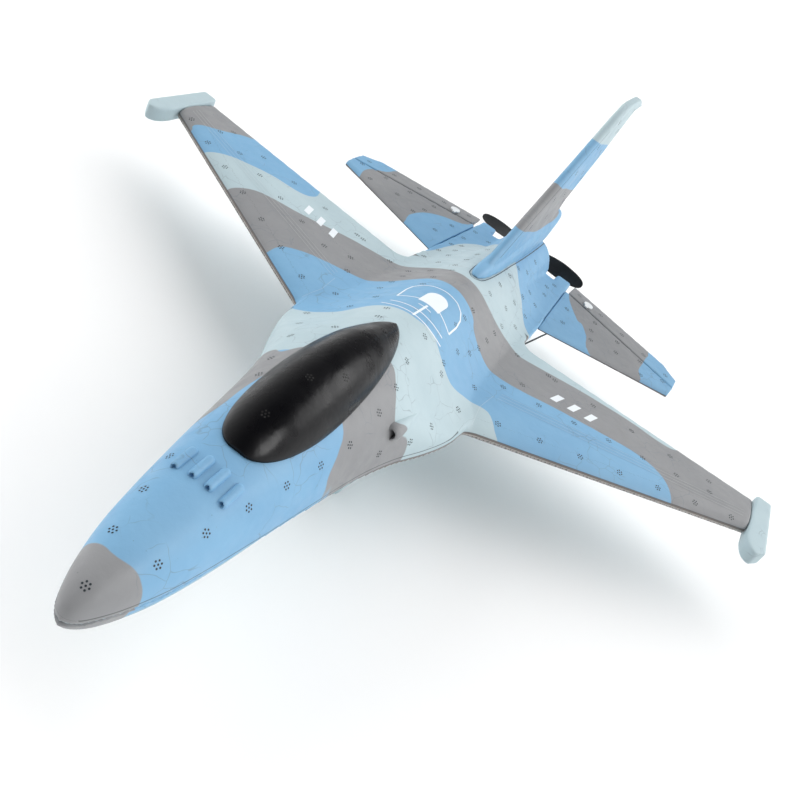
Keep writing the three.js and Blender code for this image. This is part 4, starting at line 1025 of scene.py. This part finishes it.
def deck_slab(front, rear, half, low, high):
    rings = []
    for y in spread(front, rear, round((rear - front) / 3)):
        xs = spread(-half, half, 24)
        top = [(x, y, deck_height(x, y) + high) for x in xs]
        bottom = [(x, y, max(deck_height(x, y) + low, -60)) for x in xs]
        rings.append(top + bottom[::-1])
    return solid("slab", rings)


def canopy_shell():
    span = CANOPY_REAR_Y - CANOPY_FRONT_Y
    ys = [CANOPY_FRONT_Y + span * (1 - math.cos(math.pi * t)) / 2 for t in spread(0.03, 0.97, 64)]
    shell = solid("canopy_bubble", [canopy_ring(y) for y in ys])
    plug = prism("plug", bay_outline(-0.5), -20, 70)
    boolean(plug, [deck_slab(BAY_FRONT_Y - 4, BAY_REAR_Y + 4, 14, -5, 2)], "INTERSECT")
    boolean(shell, [plug], "UNION")
    boolean(shell, magnet_pockets(-8, POCKET_DEPTH), "DIFFERENCE")
    shaded(shell, 50)
    return finish_piece(shell, CANOPY_SKIN, "canopy", ["canopy"])


canopy = canopy_shell()


# ---- wing tip rails

def tip_rail(side_name):
    inner, outer, front, rear = WING_TIP_X + GAP, 226, 75, 137
    corner = [(mix(mix(outer - 5, inner + 1, t), mix(inner + 1, inner, t), t),
               mix(front, mix(front, front + 14, t), t)) for t in spread(0, 1, 10)]
    outline = [(inner, rear), (outer - 3, rear + 0.3), (outer, front + 7)] + corner
    rail = prism(f"tip_rail_{side_name}_foam", outline, -5, 4.5)
    bevel = rail.modifiers.new("edge", "BEVEL")
    bevel.width = 1.5 * MM
    bevel.segments = 4
    softened(baked(rail), 0.8, 5)
    if side_name == "right":
        rail = turned_over(rail)
    paint_plain(rail)
    finish_piece(rail, PAINT, nodes=[f"tip_rail_{side_name}"])


for side_name, _ in SIDES:
    tip_rail(side_name)

# ---- tail surfaces

STAB_TIP_LEAD_Y = 211
STAB_TIP_TRAIL_Y = 240
STAB_CORNER_X = 127
ELEVATOR_INNER_X = 43.2


def stab_half(x):
    return mix(2.7, 2.1, (x - STAB_FRONT_X) / (STAB_TIP_X - STAB_FRONT_X))


def stab_ring(t):
    rear_x = half_width(HINGE_START_Y)
    lead = (mix(STAB_FRONT_X, STAB_TIP_X - 0.8, t), mix(STAB_FRONT_Y, STAB_TIP_LEAD_Y, t))
    rear = (mix(rear_x, STAB_TIP_X, t), mix(hinge_y(rear_x), hinge_y(STAB_TIP_X), t) - 0.5)
    chords = [s * s for s in spread(0, 1, 18)]
    points = []
    for sign, row in ((1, chords[::-1]), (-1, chords[1:])):
        for c in row:
            x, y = mix(lead[0], rear[0], c), mix(lead[1], rear[1], c)
            swell = math.sqrt(1 - (1 - c / 0.3) ** 2) if c < 0.3 else 1
            points.append((x, y, stab_mid(x) + sign * swell * stab_half(x)))
    return points


def elevator_trail(x):
    if x <= STAB_CORNER_X:
        return mix(258.5, 249, (x - ELEVATOR_INNER_X) / (STAB_CORNER_X - ELEVATOR_INNER_X))
    return mix(249, STAB_TIP_TRAIL_Y, (x - STAB_CORNER_X) / (STAB_TIP_X - STAB_CORNER_X))


def elevator_ring(x):
    mid, thick, front, rear = stab_mid(x), stab_half(x), hinge_y(x), elevator_trail(x)
    shoulder = front + 1.7
    tail = mix(shoulder, rear, 0.5)
    waist = mix(thick, 0.9, 0.4)
    section = [(front, 0), (shoulder, thick), (tail, waist), (rear, 0.9),
               (rear, -0.9), (tail, -waist), (shoulder, -thick)]
    return [(x, y, mid + z) for y, z in section]


HORN_X = 58.5


def horn_slot():
    origin = Vector((HORN_X, hinge_y(HORN_X), stab_mid(HORN_X)))
    return framed_block("stem", (-0.9, 3.9, -8), (0.9, 7.5, 4), origin)


def stab_lip(x, y):
    return stab_mid(abs(x)) + 0.1


def tail_surfaces(side_name):
    stab = solid(f"stabiliser_{side_name}_foam", [stab_ring(t) for t in spread(0, 1, 30)])
    stations = spread(ELEVATOR_INNER_X, STAB_CORNER_X, 20) + spread(STAB_CORNER_X, STAB_TIP_X, 4)[1:]
    elevator = solid(f"elevator_{side_name}_foam", [elevator_ring(x) for x in stations])
    boolean(elevator, [horn_slot()], "DIFFERENCE")
    grey = STAB_GREY_LEFT if side_name == "left" else STAB_GREY_RIGHT
    for piece, node, body in (
        (stab, f"stabiliser_{side_name}", "airframe"),
        (elevator, f"elevator_{side_name}", f"elevator_{side_name}"),
    ):
        softened(piece, 0.6, 1)
        if side_name == "right":
            turned_over(piece)
        paint(piece, (grey,), lip_height=stab_lip, seam=hinge_groove)
        finish_piece(piece, PAINT, body, [node])
    return stab, elevator


tail = [piece for side_name, _ in SIDES for piece in tail_surfaces(side_name)]

# ---- fin

FIN_HEIGHTS = (8, 30, 48, 80, 105, 111, 112.5, 117, 119.5)
FIN_LEADS = (96, 126, 154, 204, 243, 252.5, 255, 263, 275)
FIN_TRAILS = (244, 244, 244, 278, 295, 301, FIN_REAR_Y, 312, 304)
FIN_HALVES = (4.2, 4.1, 3.8, 3.4, 3.3, 3.2, 3.2, 3.1, 2.5)
fin_share = along((0, 0), (0.01, 0.38), (0.04, 0.75), (0.1, 0.97), (0.2, 1), (0.55, 1), (1, 0.94))


def fin_ring(z):
    lead, trail, half = (np.interp(z, FIN_HEIGHTS, row)
                         for row in (FIN_LEADS, FIN_TRAILS, FIN_HALVES))
    chords = [s * s for s in spread(0, 1, 30)]
    right = [(fin_share(c) * half, mix(lead, trail, c), z) for c in chords]
    left = [(-x, y, z) for x, y, z in reversed(right[1:])]
    return right + left


FOOT_YS = (105, 108, 116, 135, 165, 200, 230, 248, 257, 263)
foot_half = along(*zip(FOOT_YS, (1.2, 3.4, 5, 6, 6.2, 6.4, 6.6, 6.6, 6.2, 5.6)))
foot_low = along(*zip(FOOT_YS, (14, 14, 14, 13, 11, 9, 8, 9, 18, 22)))
foot_high = along(*zip(FOOT_YS, (24.8, 26.4, 28, 29, 29, 30.5, 33, 35, 35.6, 35)))


FOOT_SQUARENESS = 0.8


def foot_ring(y):
    low, high = foot_low(y), foot_high(y)
    middle, rise = (low + high) / 2, (high - low) / 2
    ring = []
    for i in range(40):
        c, s = math.cos(math.pi * i / 20), math.sin(math.pi * i / 20)
        x = foot_half(y) * math.copysign(abs(c) ** FOOT_SQUARENESS, c)
        ring.append((x, y, middle + rise * math.copysign(abs(s) ** FOOT_SQUARENESS, s)))
    return ring


def fin_piece():
    heights = sorted({*spread(FIN_HEIGHTS[0], FIN_HEIGHTS[-1], 60), *FIN_HEIGHTS})
    blade = solid("fin_foam", [fin_ring(z) for z in heights])
    boolean(blade, [solid("foot", [foot_ring(y) for y in spread(FOOT_YS[0], FOOT_YS[-1], 80)])], "UNION")
    boolean(blade, [deck_slab(80, NOZZLE_END_Y + GAP, 16, -60, GAP)], "DIFFERENCE")
    softened(blade, 0.75, 3)
    paint(blade, (FIN_GREY,), (FIN_ICE,), (1, 2), under_ice=False, seam=fin_groove)
    return finish_piece(blade, PAINT, nodes=["fin"])


fin = fin_piece()


# ---- markings laid on the foam

class Skin:
    """Finds the foam surface under a plan position, for anything laid on it."""

    def __init__(self, obj):
        graph = bpy.context.evaluated_depsgraph_get()
        self.tree = BVHTree.FromObject(obj, graph)

    def cast(self, start, aim):
        spot, normal, _, _ = self.tree.ray_cast(Vector(place(start)), Vector(aim))
        return spot, normal

    def under(self, x, y):
        return self.cast((x, y, 60), (0, 0, -1))

    def near(self, point):
        spot, normal, _, _ = self.tree.find_nearest(point)
        return spot, normal


UPPER_SKIN = Skin(upper)
PROUD = 0.07 * MM


STRIP_STEP = 1.2


def resampled(points):
    p = [Vector(q) for q in points]
    out = []
    for a, b in zip(p, p[1:]):
        count = max(1, round((b - a).length / STRIP_STEP))
        out += [a.lerp(b, i / count) for i in range(count)]
    return out + [p[-1]]


def strip(bm, points, width, proud=PROUD):
    """Flat ribbon along a plan line, following the upper skin."""
    row = resampled(points)
    pairs = []
    for i, here in enumerate(row):
        ahead = row[min(i + 1, len(row) - 1)] - row[max(i - 1, 0)]
        across = Vector((-ahead.y, ahead.x)).normalized() * width / 2
        pair = []
        for end in (here - across, here + across):
            spot, normal = UPPER_SKIN.under(*end)
            if spot is not None:
                pair.append(bm.verts.new(spot + normal * proud))
        pairs.append(pair)
    for a, b in zip(pairs, pairs[1:]):
        if len(a) == len(b) == 2:
            bm.faces.new((a[0], b[0], b[1], a[1]))


PATCH_COLUMNS = 8


def patch(bm, left, right):
    """Filled area on the upper skin between two plan lines with equally many points."""
    grid = []
    for a, b in zip(left, right):
        row = []
        for t in spread(0, 1, PATCH_COLUMNS):
            spot, normal = UPPER_SKIN.under(*Vector(a).lerp(Vector(b), t))
            row.append(bm.verts.new(spot + normal * PROUD))
        grid.append(row)
    for near, far in zip(grid, grid[1:]):
        for i in range(PATCH_COLUMNS):
            bm.faces.new((near[i], near[i + 1], far[i + 1], far[i]))


def laid(name, bm, look, body="airframe"):
    return finish_piece(shaded(built(name, bm)), look, body)


def bowed(start, middle, end):
    """Plan curve through three points."""
    rows = []
    for t in spread(0, 1, 16):
        a = (2 * t - 1) * (t - 1)
        b = 4 * t * (1 - t)
        c = t * (2 * t - 1)
        rows.append(tuple(a * p + b * q + c * r for p, q, r in zip(start, middle, end)))
    return rows


def dorsal_marking():
    """White service-door outline, its filled bowl, a stem and two bows across the spine."""
    bm = bmesh.new()
    outline = [(-17, 27), (-18, 44), (-17.3, 51), (-14, 56.5), (-9, 58.3), (0, 58.6), (8, 58),
               (12.5, 55), (15.5, 49), (17, 40), (17.4, 27)]
    lines = (
        (outline, 0.9), ([(-17, 27), (-6.5, 30.5)], 0.9), ([(17.4, 27), (6.5, 30.5)], 0.9),
        ([(0, 4.5), (0, 26)], 1.3), ([(-4, 22), (4, 22)], 0.8),
        (bowed((-16.5, 16), (0, 13.5), (17, 17)), 0.9),
        (bowed((-18.5, 9.5), (0, 6), (19.5, 11)), 0.9),
    )
    for line, width in lines:
        strip(bm, line, width)
    turns = spread(0, math.pi, 14)
    bowl = [(6.6 * math.cos(a), 42 + 8 * math.sin(a)) for a in turns]
    left = [(-6.6, 28)] + [(x, y) for x, y in reversed(bowl) if x <= 0]
    right = [(6.6, 28)] + [(x, y) for x, y in bowl if x >= 0]
    patch(bm, left, right)
    return laid("dorsal_marking", bm, WHITE_FILM)


def wing_bars(side_name, side):
    """Three plain slanted bars where a squadron would put its badge."""
    bm = bmesh.new()
    for x, y in ((82, 82.5), (93, 85.25), (104, 88)):
        near = [(side * mix(x - 3.2, x - 0.6, t), mix(y - 5.5, y + 5.5, t)) for t in spread(0, 1, 8)]
        far = [(px + side * 4.4, py + 1.0) for px, py in near]
        patch(bm, near, far)
    return laid(f"wing_bars_{side_name}", bm, WHITE_FILM)


def beads(name, lines, width, proud=PROUD):
    """Thin raised lines of foam, painted like the skin that they lie on and a little lighter as a
    painted highlight.
    """
    bm = bmesh.new()
    for line in lines:
        strip(bm, line, width, proud)
    paint(laid(name, bm, RIDGE_HIGHLIGHT), **BODY_PATCHES, under_ice=False)


def wing_ridges(side_name, side):
    """Three fine moulded beads that run spanwise, and a crease from the wing root."""
    ridges = [[(side * 57, 41 + shift), (side * 207, 106 + shift)] for shift in (-3.3, 0, 3.3)]
    beads(f"wing_ridges_{side_name}", ridges, 0.5, 0.12 * MM)
    crease = [(side * 56, 5), (side * 53, 20), (side * 54.5, 37)]
    beads(f"wing_root_crease_{side_name}", [crease], 0.35)


def fin_foot_seam():
    """Painted shadow line where the fin's fairing meets the spine."""
    bm = bmesh.new()
    ys = spread(106, 252, 40)
    right = [(foot_half(y) + 0.5, y) for y in ys]
    nose = [(1.2, 104.4), (-1.2, 104.4)]
    strip(bm, right[::-1] + nose + [(-x, y) for x, y in right], 0.55)
    return laid("fin_foot_seam", bm, FOOT_SHADOW)


# Bead paint: the skin's camouflage lightened a fifth of the way to a pale tone, as painted highlight.
RIDGE_HIGHLIGHT = foam_paint("ridge_foam", 0.2)
# Dark strip along the fin's foot: painted shadow where the fairing meets the spine.
FOOT_SHADOW = moulded("seam_shadow", colour(58, 70, 82), colour(84, 98, 110), 0.75)
dorsal_marking()
fin_foot_seam()
for name, sign in SIDES:
    wing_bars(name, sign)
    wing_ridges(name, sign)


# ---- vent marks: dark discs of painted shade

VENT_STEP = 1.5
VENT_RADIUS = 0.45
VENT_PROUD = 0.05
ABOVE_ALL = 60
BELOW_ALL = -90
BESIDE_ALL = 70


def vent_cluster(bm, skin, start, aim, turn):
    """Seven small dots where a ray meets the skin: one in the middle and six round it."""
    spot, normal = skin.cast(start, aim)
    if spot is None or normal.dot(Vector(aim)) > -0.1:
        return
    helper = Vector((0, 0, 1)) if abs(normal.z) < 0.7 else Vector((0, 1, 0))
    east = helper.cross(normal).normalized()
    north = normal.cross(east)
    for u, v in [(0, 0)] + circle(0, 0, 1, 6):
        u, v = u * math.cos(turn) - v * math.sin(turn), u * math.sin(turn) + v * math.cos(turn)
        at, up = skin.near(spot + (east * u + north * v) * VENT_STEP * MM)
        rim = [at + (east * a + north * b) * VENT_RADIUS * MM + up * VENT_PROUD * MM
               for a, b in circle(0, 0, 1, 8)]
        bm.faces.new([bm.verts.new(corner) for corner in rim])


def between(start, end, count):
    """Evenly spaced points from one end of a row to the other."""
    return [tuple(mix(a, b, i / max(count - 1, 1)) for a, b in zip(start, end))
            for i in range(count)]


def vents(name, obj, rows, aim, body="airframe", look=VENT_SHADE):
    """Vent marks in rows, each given by its two ends and how many clusters it has."""
    skin = Skin(obj)
    bm = bmesh.new()
    for row in rows:
        for i, start in enumerate(between(*row)):
            vent_cluster(bm, skin, start, aim, 0.7 * i)
    laid(f"vents_{name}", bm, look, body)


def ray_ends(rows, view, side=1):
    """Rows given in the plane that a view looks at, moved out to where the rays start."""
    start = {"above": lambda a, b: (side * a, b, ABOVE_ALL),
             "below": lambda a, b: (side * a, b, BELOW_ALL),
             "side": lambda a, b: (side * BESIDE_ALL, a, b)}[view]
    return [(start(*near), start(*far), count) for near, far, count in rows]


DOWN, UP = (0, 0, -1), (0, 0, 1)

WING_VENT_ROWS = (
    ((66, 19), (201, 94), 7), ((55, 53), (184, 102), 7), ((48, 100), (182, 115), 6),
    ((62, 70), (70, 103), 2),
)
BODY_VENT_ROWS = (
    ((0, -229), (-1, -227), 1), ((-8, -209), (-17, -168), 3), ((11, -207), (21, -142), 4),
    ((24, -120), (26, -99), 2), ((25, -74), (35, -75), 2), ((43, -31), (41, -52), 2),
    ((22, -53), (16, -31), 2), ((-22, -104), (-26, -87), 2), ((-31, -61), (-44, -13), 3),
    ((-19, -45), (-10, -17), 2), ((-46, 23), (-26, 24), 2), ((-30, 2), (-12, -1), 2),
    ((12, -1), (46, 3), 3), ((26, 8), (26, 30), 2), ((44, 31), (30, 45), 2),
    ((16, 41), (15, 73), 3), ((31, 60), (30, 108), 4), ((13, 110), (10, 181), 4),
    ((24, 127), (25, 185), 4), ((35, 129), (32, 208), 4), ((13, 219), (15, 195), 2),
    ((32, 234), (29, 222), 2), ((-15, 60), (-16, 80), 2), ((-32, 47), (-32, 81), 3),
    ((-34, 96), (-13, 104), 3), ((-30, 157), (-32, 190), 3), ((-16, 120), (-14, 181), 4),
    ((-39, 165), (-36, 229), 4), ((-28, 130), (-40, 140), 2), ((-23, 223), (-20, 205), 2),
)
CANOPY_VENT_ROWS = (((-1, -139), (0, -112), 2), ((-2, -61), (1, -41), 2), ((9, -95), (10, -75), 2))
UNDERWING_VENT_ROWS = (((70, 30), (200, 100), 6), ((62, 62), (190, 116), 6), ((52, 96), (150, 116), 4))
BELLY_VENT_ROWS = (((10, -40), (10, 110), 6), ((8, 145), (6, 235), 4), ((14, -180), (18, -80), 4))
FLANK_VENT_ROWS = (((-20, -18), (100, -18), 6), ((-5, -38), (115, -38), 6), ((145, -22), (225, -12), 4))
FIN_VENT_ROWS = (((170, 46), (262, 108), 5), ((205, 45), (296, 112), 6), ((236, 50), (268, 80), 3))
STAB_VENT_ROWS = (((50, 214), (117, 207), 4), ((54, 192), (76, 199), 2), ((71, 226), (132, 222), 4))
ELEVATOR_VENT_ROWS = (((50, 249), (132, 234), 5),)

vents("canopy", canopy, ray_ends(CANOPY_VENT_ROWS, "above"), DOWN, "canopy", VENT_SHADE_BLACK)
body_rows = ray_ends(BODY_VENT_ROWS, "above")
for k, (name, sign) in enumerate(SIDES):
    inward = (-sign, 0, 0)
    body_rows += ray_ends(WING_VENT_ROWS, "above", sign)
    vents(f"underwing_{name}", upper, ray_ends(UNDERWING_VENT_ROWS, "below", sign), UP)
    vents(f"belly_{name}", lower, ray_ends(BELLY_VENT_ROWS, "below", sign), UP)
    vents(f"flank_{name}", lower, ray_ends(FLANK_VENT_ROWS, "side", sign), inward)
    vents(f"fin_{name}", fin, ray_ends(FIN_VENT_ROWS, "side", sign), inward)
    for part, place_rows in ((tail[2 * k], STAB_VENT_ROWS), (tail[2 * k + 1], ELEVATOR_VENT_ROWS)):
        node = part.name.removesuffix("_foam")
        body = node if node.startswith("elevator") else "airframe"
        vents(f"{node}_top", part, ray_ends(place_rows, "above", sign), DOWN, body)
        vents(f"{node}_under", part, ray_ends(place_rows, "below", sign), UP, body)
vents("upper", upper, body_rows, DOWN)


# ---- propeller

PROP_Y = 274
PROP_RADIUS = 46
blade_chord = along((2, 6.5), (8, 8.5), (16, 11), (26, 12), (36, 10.5), (42, 8), (45, 5),
                    (PROP_RADIUS, 2))
blade_thick = along((2, 2.6), (8, 2.2), (16, 1.8), (26, 1.5), (36, 1.2), (42, 1), (45, 0.9),
                    (PROP_RADIUS, 0.8))
BLADE_ADVANCE = 70
BLADE_CAMBER = 0.12
HUB_RADIUS = 4.2
HUB_HALF = 4
SHAFT_BORE = 1.3


def blade_ring(reach):
    chord, thick = blade_chord(reach), blade_thick(reach)
    pitch = math.atan2(BLADE_ADVANCE, 2 * math.pi * max(reach, 14))
    ring = []
    for i in range(24):
        turn = 2 * math.pi * i / 24
        c = 0.5 * math.cos(turn)
        t = 0.42 * math.sin(turn) + BLADE_CAMBER * (1 - 4 * c * c)
        across, deep = c * chord, t * thick
        ring.append((reach, PROP_Y + across * math.sin(pitch) + deep * math.cos(pitch),
                     NOZZLE_Z + across * math.cos(pitch) - deep * math.sin(pitch)))
    return ring


def propeller():
    reaches = spread(2, 40, 30) + spread(40, PROP_RADIUS, 12)[1:]
    rings = [blade_ring(r) for r in reaches]
    opposite = [[(-x, y, 2 * NOZZLE_Z - z) for x, y, z in ring] for ring in rings]
    hub = prism("propeller_moulded", circle(0, NOZZLE_Z, HUB_RADIUS), PROP_Y - HUB_HALF,
                PROP_Y + HUB_HALF, "y")
    boolean(hub, [solid("blade", rings), solid("blade_2", opposite)], "UNION")
    bore = prism("bore", circle(0, NOZZLE_Z, SHAFT_BORE, 24), PROP_Y - 9, PROP_Y + 9, "y")
    boolean(hub, [bore], "DIFFERENCE")
    return finish_piece(shaded(hub, 35), BLACK_PLASTIC, "propeller", ["propeller"])


propeller()

# ---- CAD nodes kept as they are

KEPT = {
    "steel": (STEEL, ("motor", "motor_shaft", "propeller_nut", "magnet", "screw")),
    # Pushrod wire: near-black metal, darker than the bare steel.
    "wire": (moulded("dark_wire", (0.03, 0.03, 0.033, 1), (0.06, 0.06, 0.065, 1), 0.38, 0.1, 0.7),
             ("pushrod",)),
    "black": (BLACK_PLASTIC, ("motor_mount", "servo_left", "servo_right")),
    "white": (WHITE_PLASTIC, ("elevator_horn", "horn_plate", "servo_arm_left",
                              "servo_arm_right", "battery_plug")),
    "carbon": (carbon_weave(), ("wing_spar",)),
    "wrap": (moulded("battery_wrap", colour(30, 78, 140), colour(44, 98, 168), 0.34),
             ("battery",)),
    "pad": (moulded("sponge_pad", (0.05, 0.05, 0.055, 1), (0.09, 0.09, 0.10, 1), 0.85, 0.8),
            ("battery_pad",)),
    "board": (circuit_board(), ("flight_controller",)),
    "cable": (moulded("cable_sheath", colour(110, 16, 16), colour(142, 26, 24), 0.45),
              ("cable",)),
}


def dress_cad_node(name, node):
    """The kept node's material: the longest matching name part wins."""
    found = [(len(key), look) for look, keys in KEPT.values() for key in keys if key in name]
    look = max(found, key=lambda pair: pair[0])[1]
    node.data.materials.clear()
    node.data.materials.append(look)
    shaded(node, 30)
    soft = node.modifiers.new("edge", "BEVEL")
    soft.width = 0.12 * MM
    soft.segments = 2
    soft.limit_method = "ANGLE"
    soft.angle_limit = math.radians(40)


for node_name, node_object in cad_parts.items():
    if not node_object.hide_render:
        dress_cad_node(node_name, node_object)


# ---- camera, floor and light

def camera():
    data = bpy.data.cameras.new("camera")
    data.lens = 44.8
    data.sensor_width = 36
    made = new_object("camera", data)
    right = Vector((0.790276, 0.414687, 0.451108))
    up = Vector((-0.599180, 0.368903, 0.710559))
    back = Vector((0.128245, -0.831832, 0.540007))
    turn = Matrix((right, up, back)).transposed().to_4x4()
    made.matrix_world = Matrix.Translation((0.08478, -0.47305, 0.32673)) @ turn
    bpy.context.scene.camera = made


def soft_light(name, towards, strength, spread_angle, lights):
    """Broad studio light from one direction, for either the matt shading or the gloss."""
    data = bpy.data.lights.new(name, "SUN")
    data.energy = strength
    data.angle = math.radians(spread_angle)
    made = new_object(name, data)
    made.rotation_euler = Vector(towards).to_track_quat("Z", "Y").to_euler()
    made.visible_glossy = lights == "gloss"
    made.visible_diffuse = lights == "matt"


def studio_world():
    """White surround, bright at the sides and dim to the front, rear and overhead."""
    g = Graph(bpy.data.worlds.new("studio"), "Background", "Generated")
    split = g.nodes.new("ShaderNodeSeparateXYZ")
    g.link(g.coordinate, split.inputs[0])
    overhead = g.ramp(split.outputs["Z"], 0.1, 0.85, 1.05, 0.45, "LINEAR")
    sideways = g.math("ABSOLUTE", split.outputs["X"])
    sideways = g.ramp(sideways, 0.25, 0.85, 0.16, 0.95, "LINEAR")
    g.shade(Color=(1, 1, 1, 1), Strength=g.math("MULTIPLY", overhead, sideways))
    return g.owner


def studio():
    reach, thick = 90000, 20
    floor = block("studio_floor", (-reach, -reach, -BELLY_DEPTH - thick), (reach, reach, -BELLY_DEPTH))
    floor.data.materials.append(floor_paper())
    bpy.context.scene.world = studio_world()
    soft_light("key", (0.28, 0.66, 0.78), 2.85, 95, "matt")
    soft_light("right", (0.93, -0.20, 0.32), 0.5, 55, "matt")
    soft_light("left", (-0.95, 0.0, 0.40), 1.45, 55, "matt")
    soft_light("front_sheen", (0.76, -0.10, 0.64), 2.0, 36, "gloss")
    soft_light("flank_sheen", (0.52, 0.68, 0.50), 0.75, 34, "gloss")
    bpy.context.scene.view_settings.view_transform = "Standard"


camera()
studio()
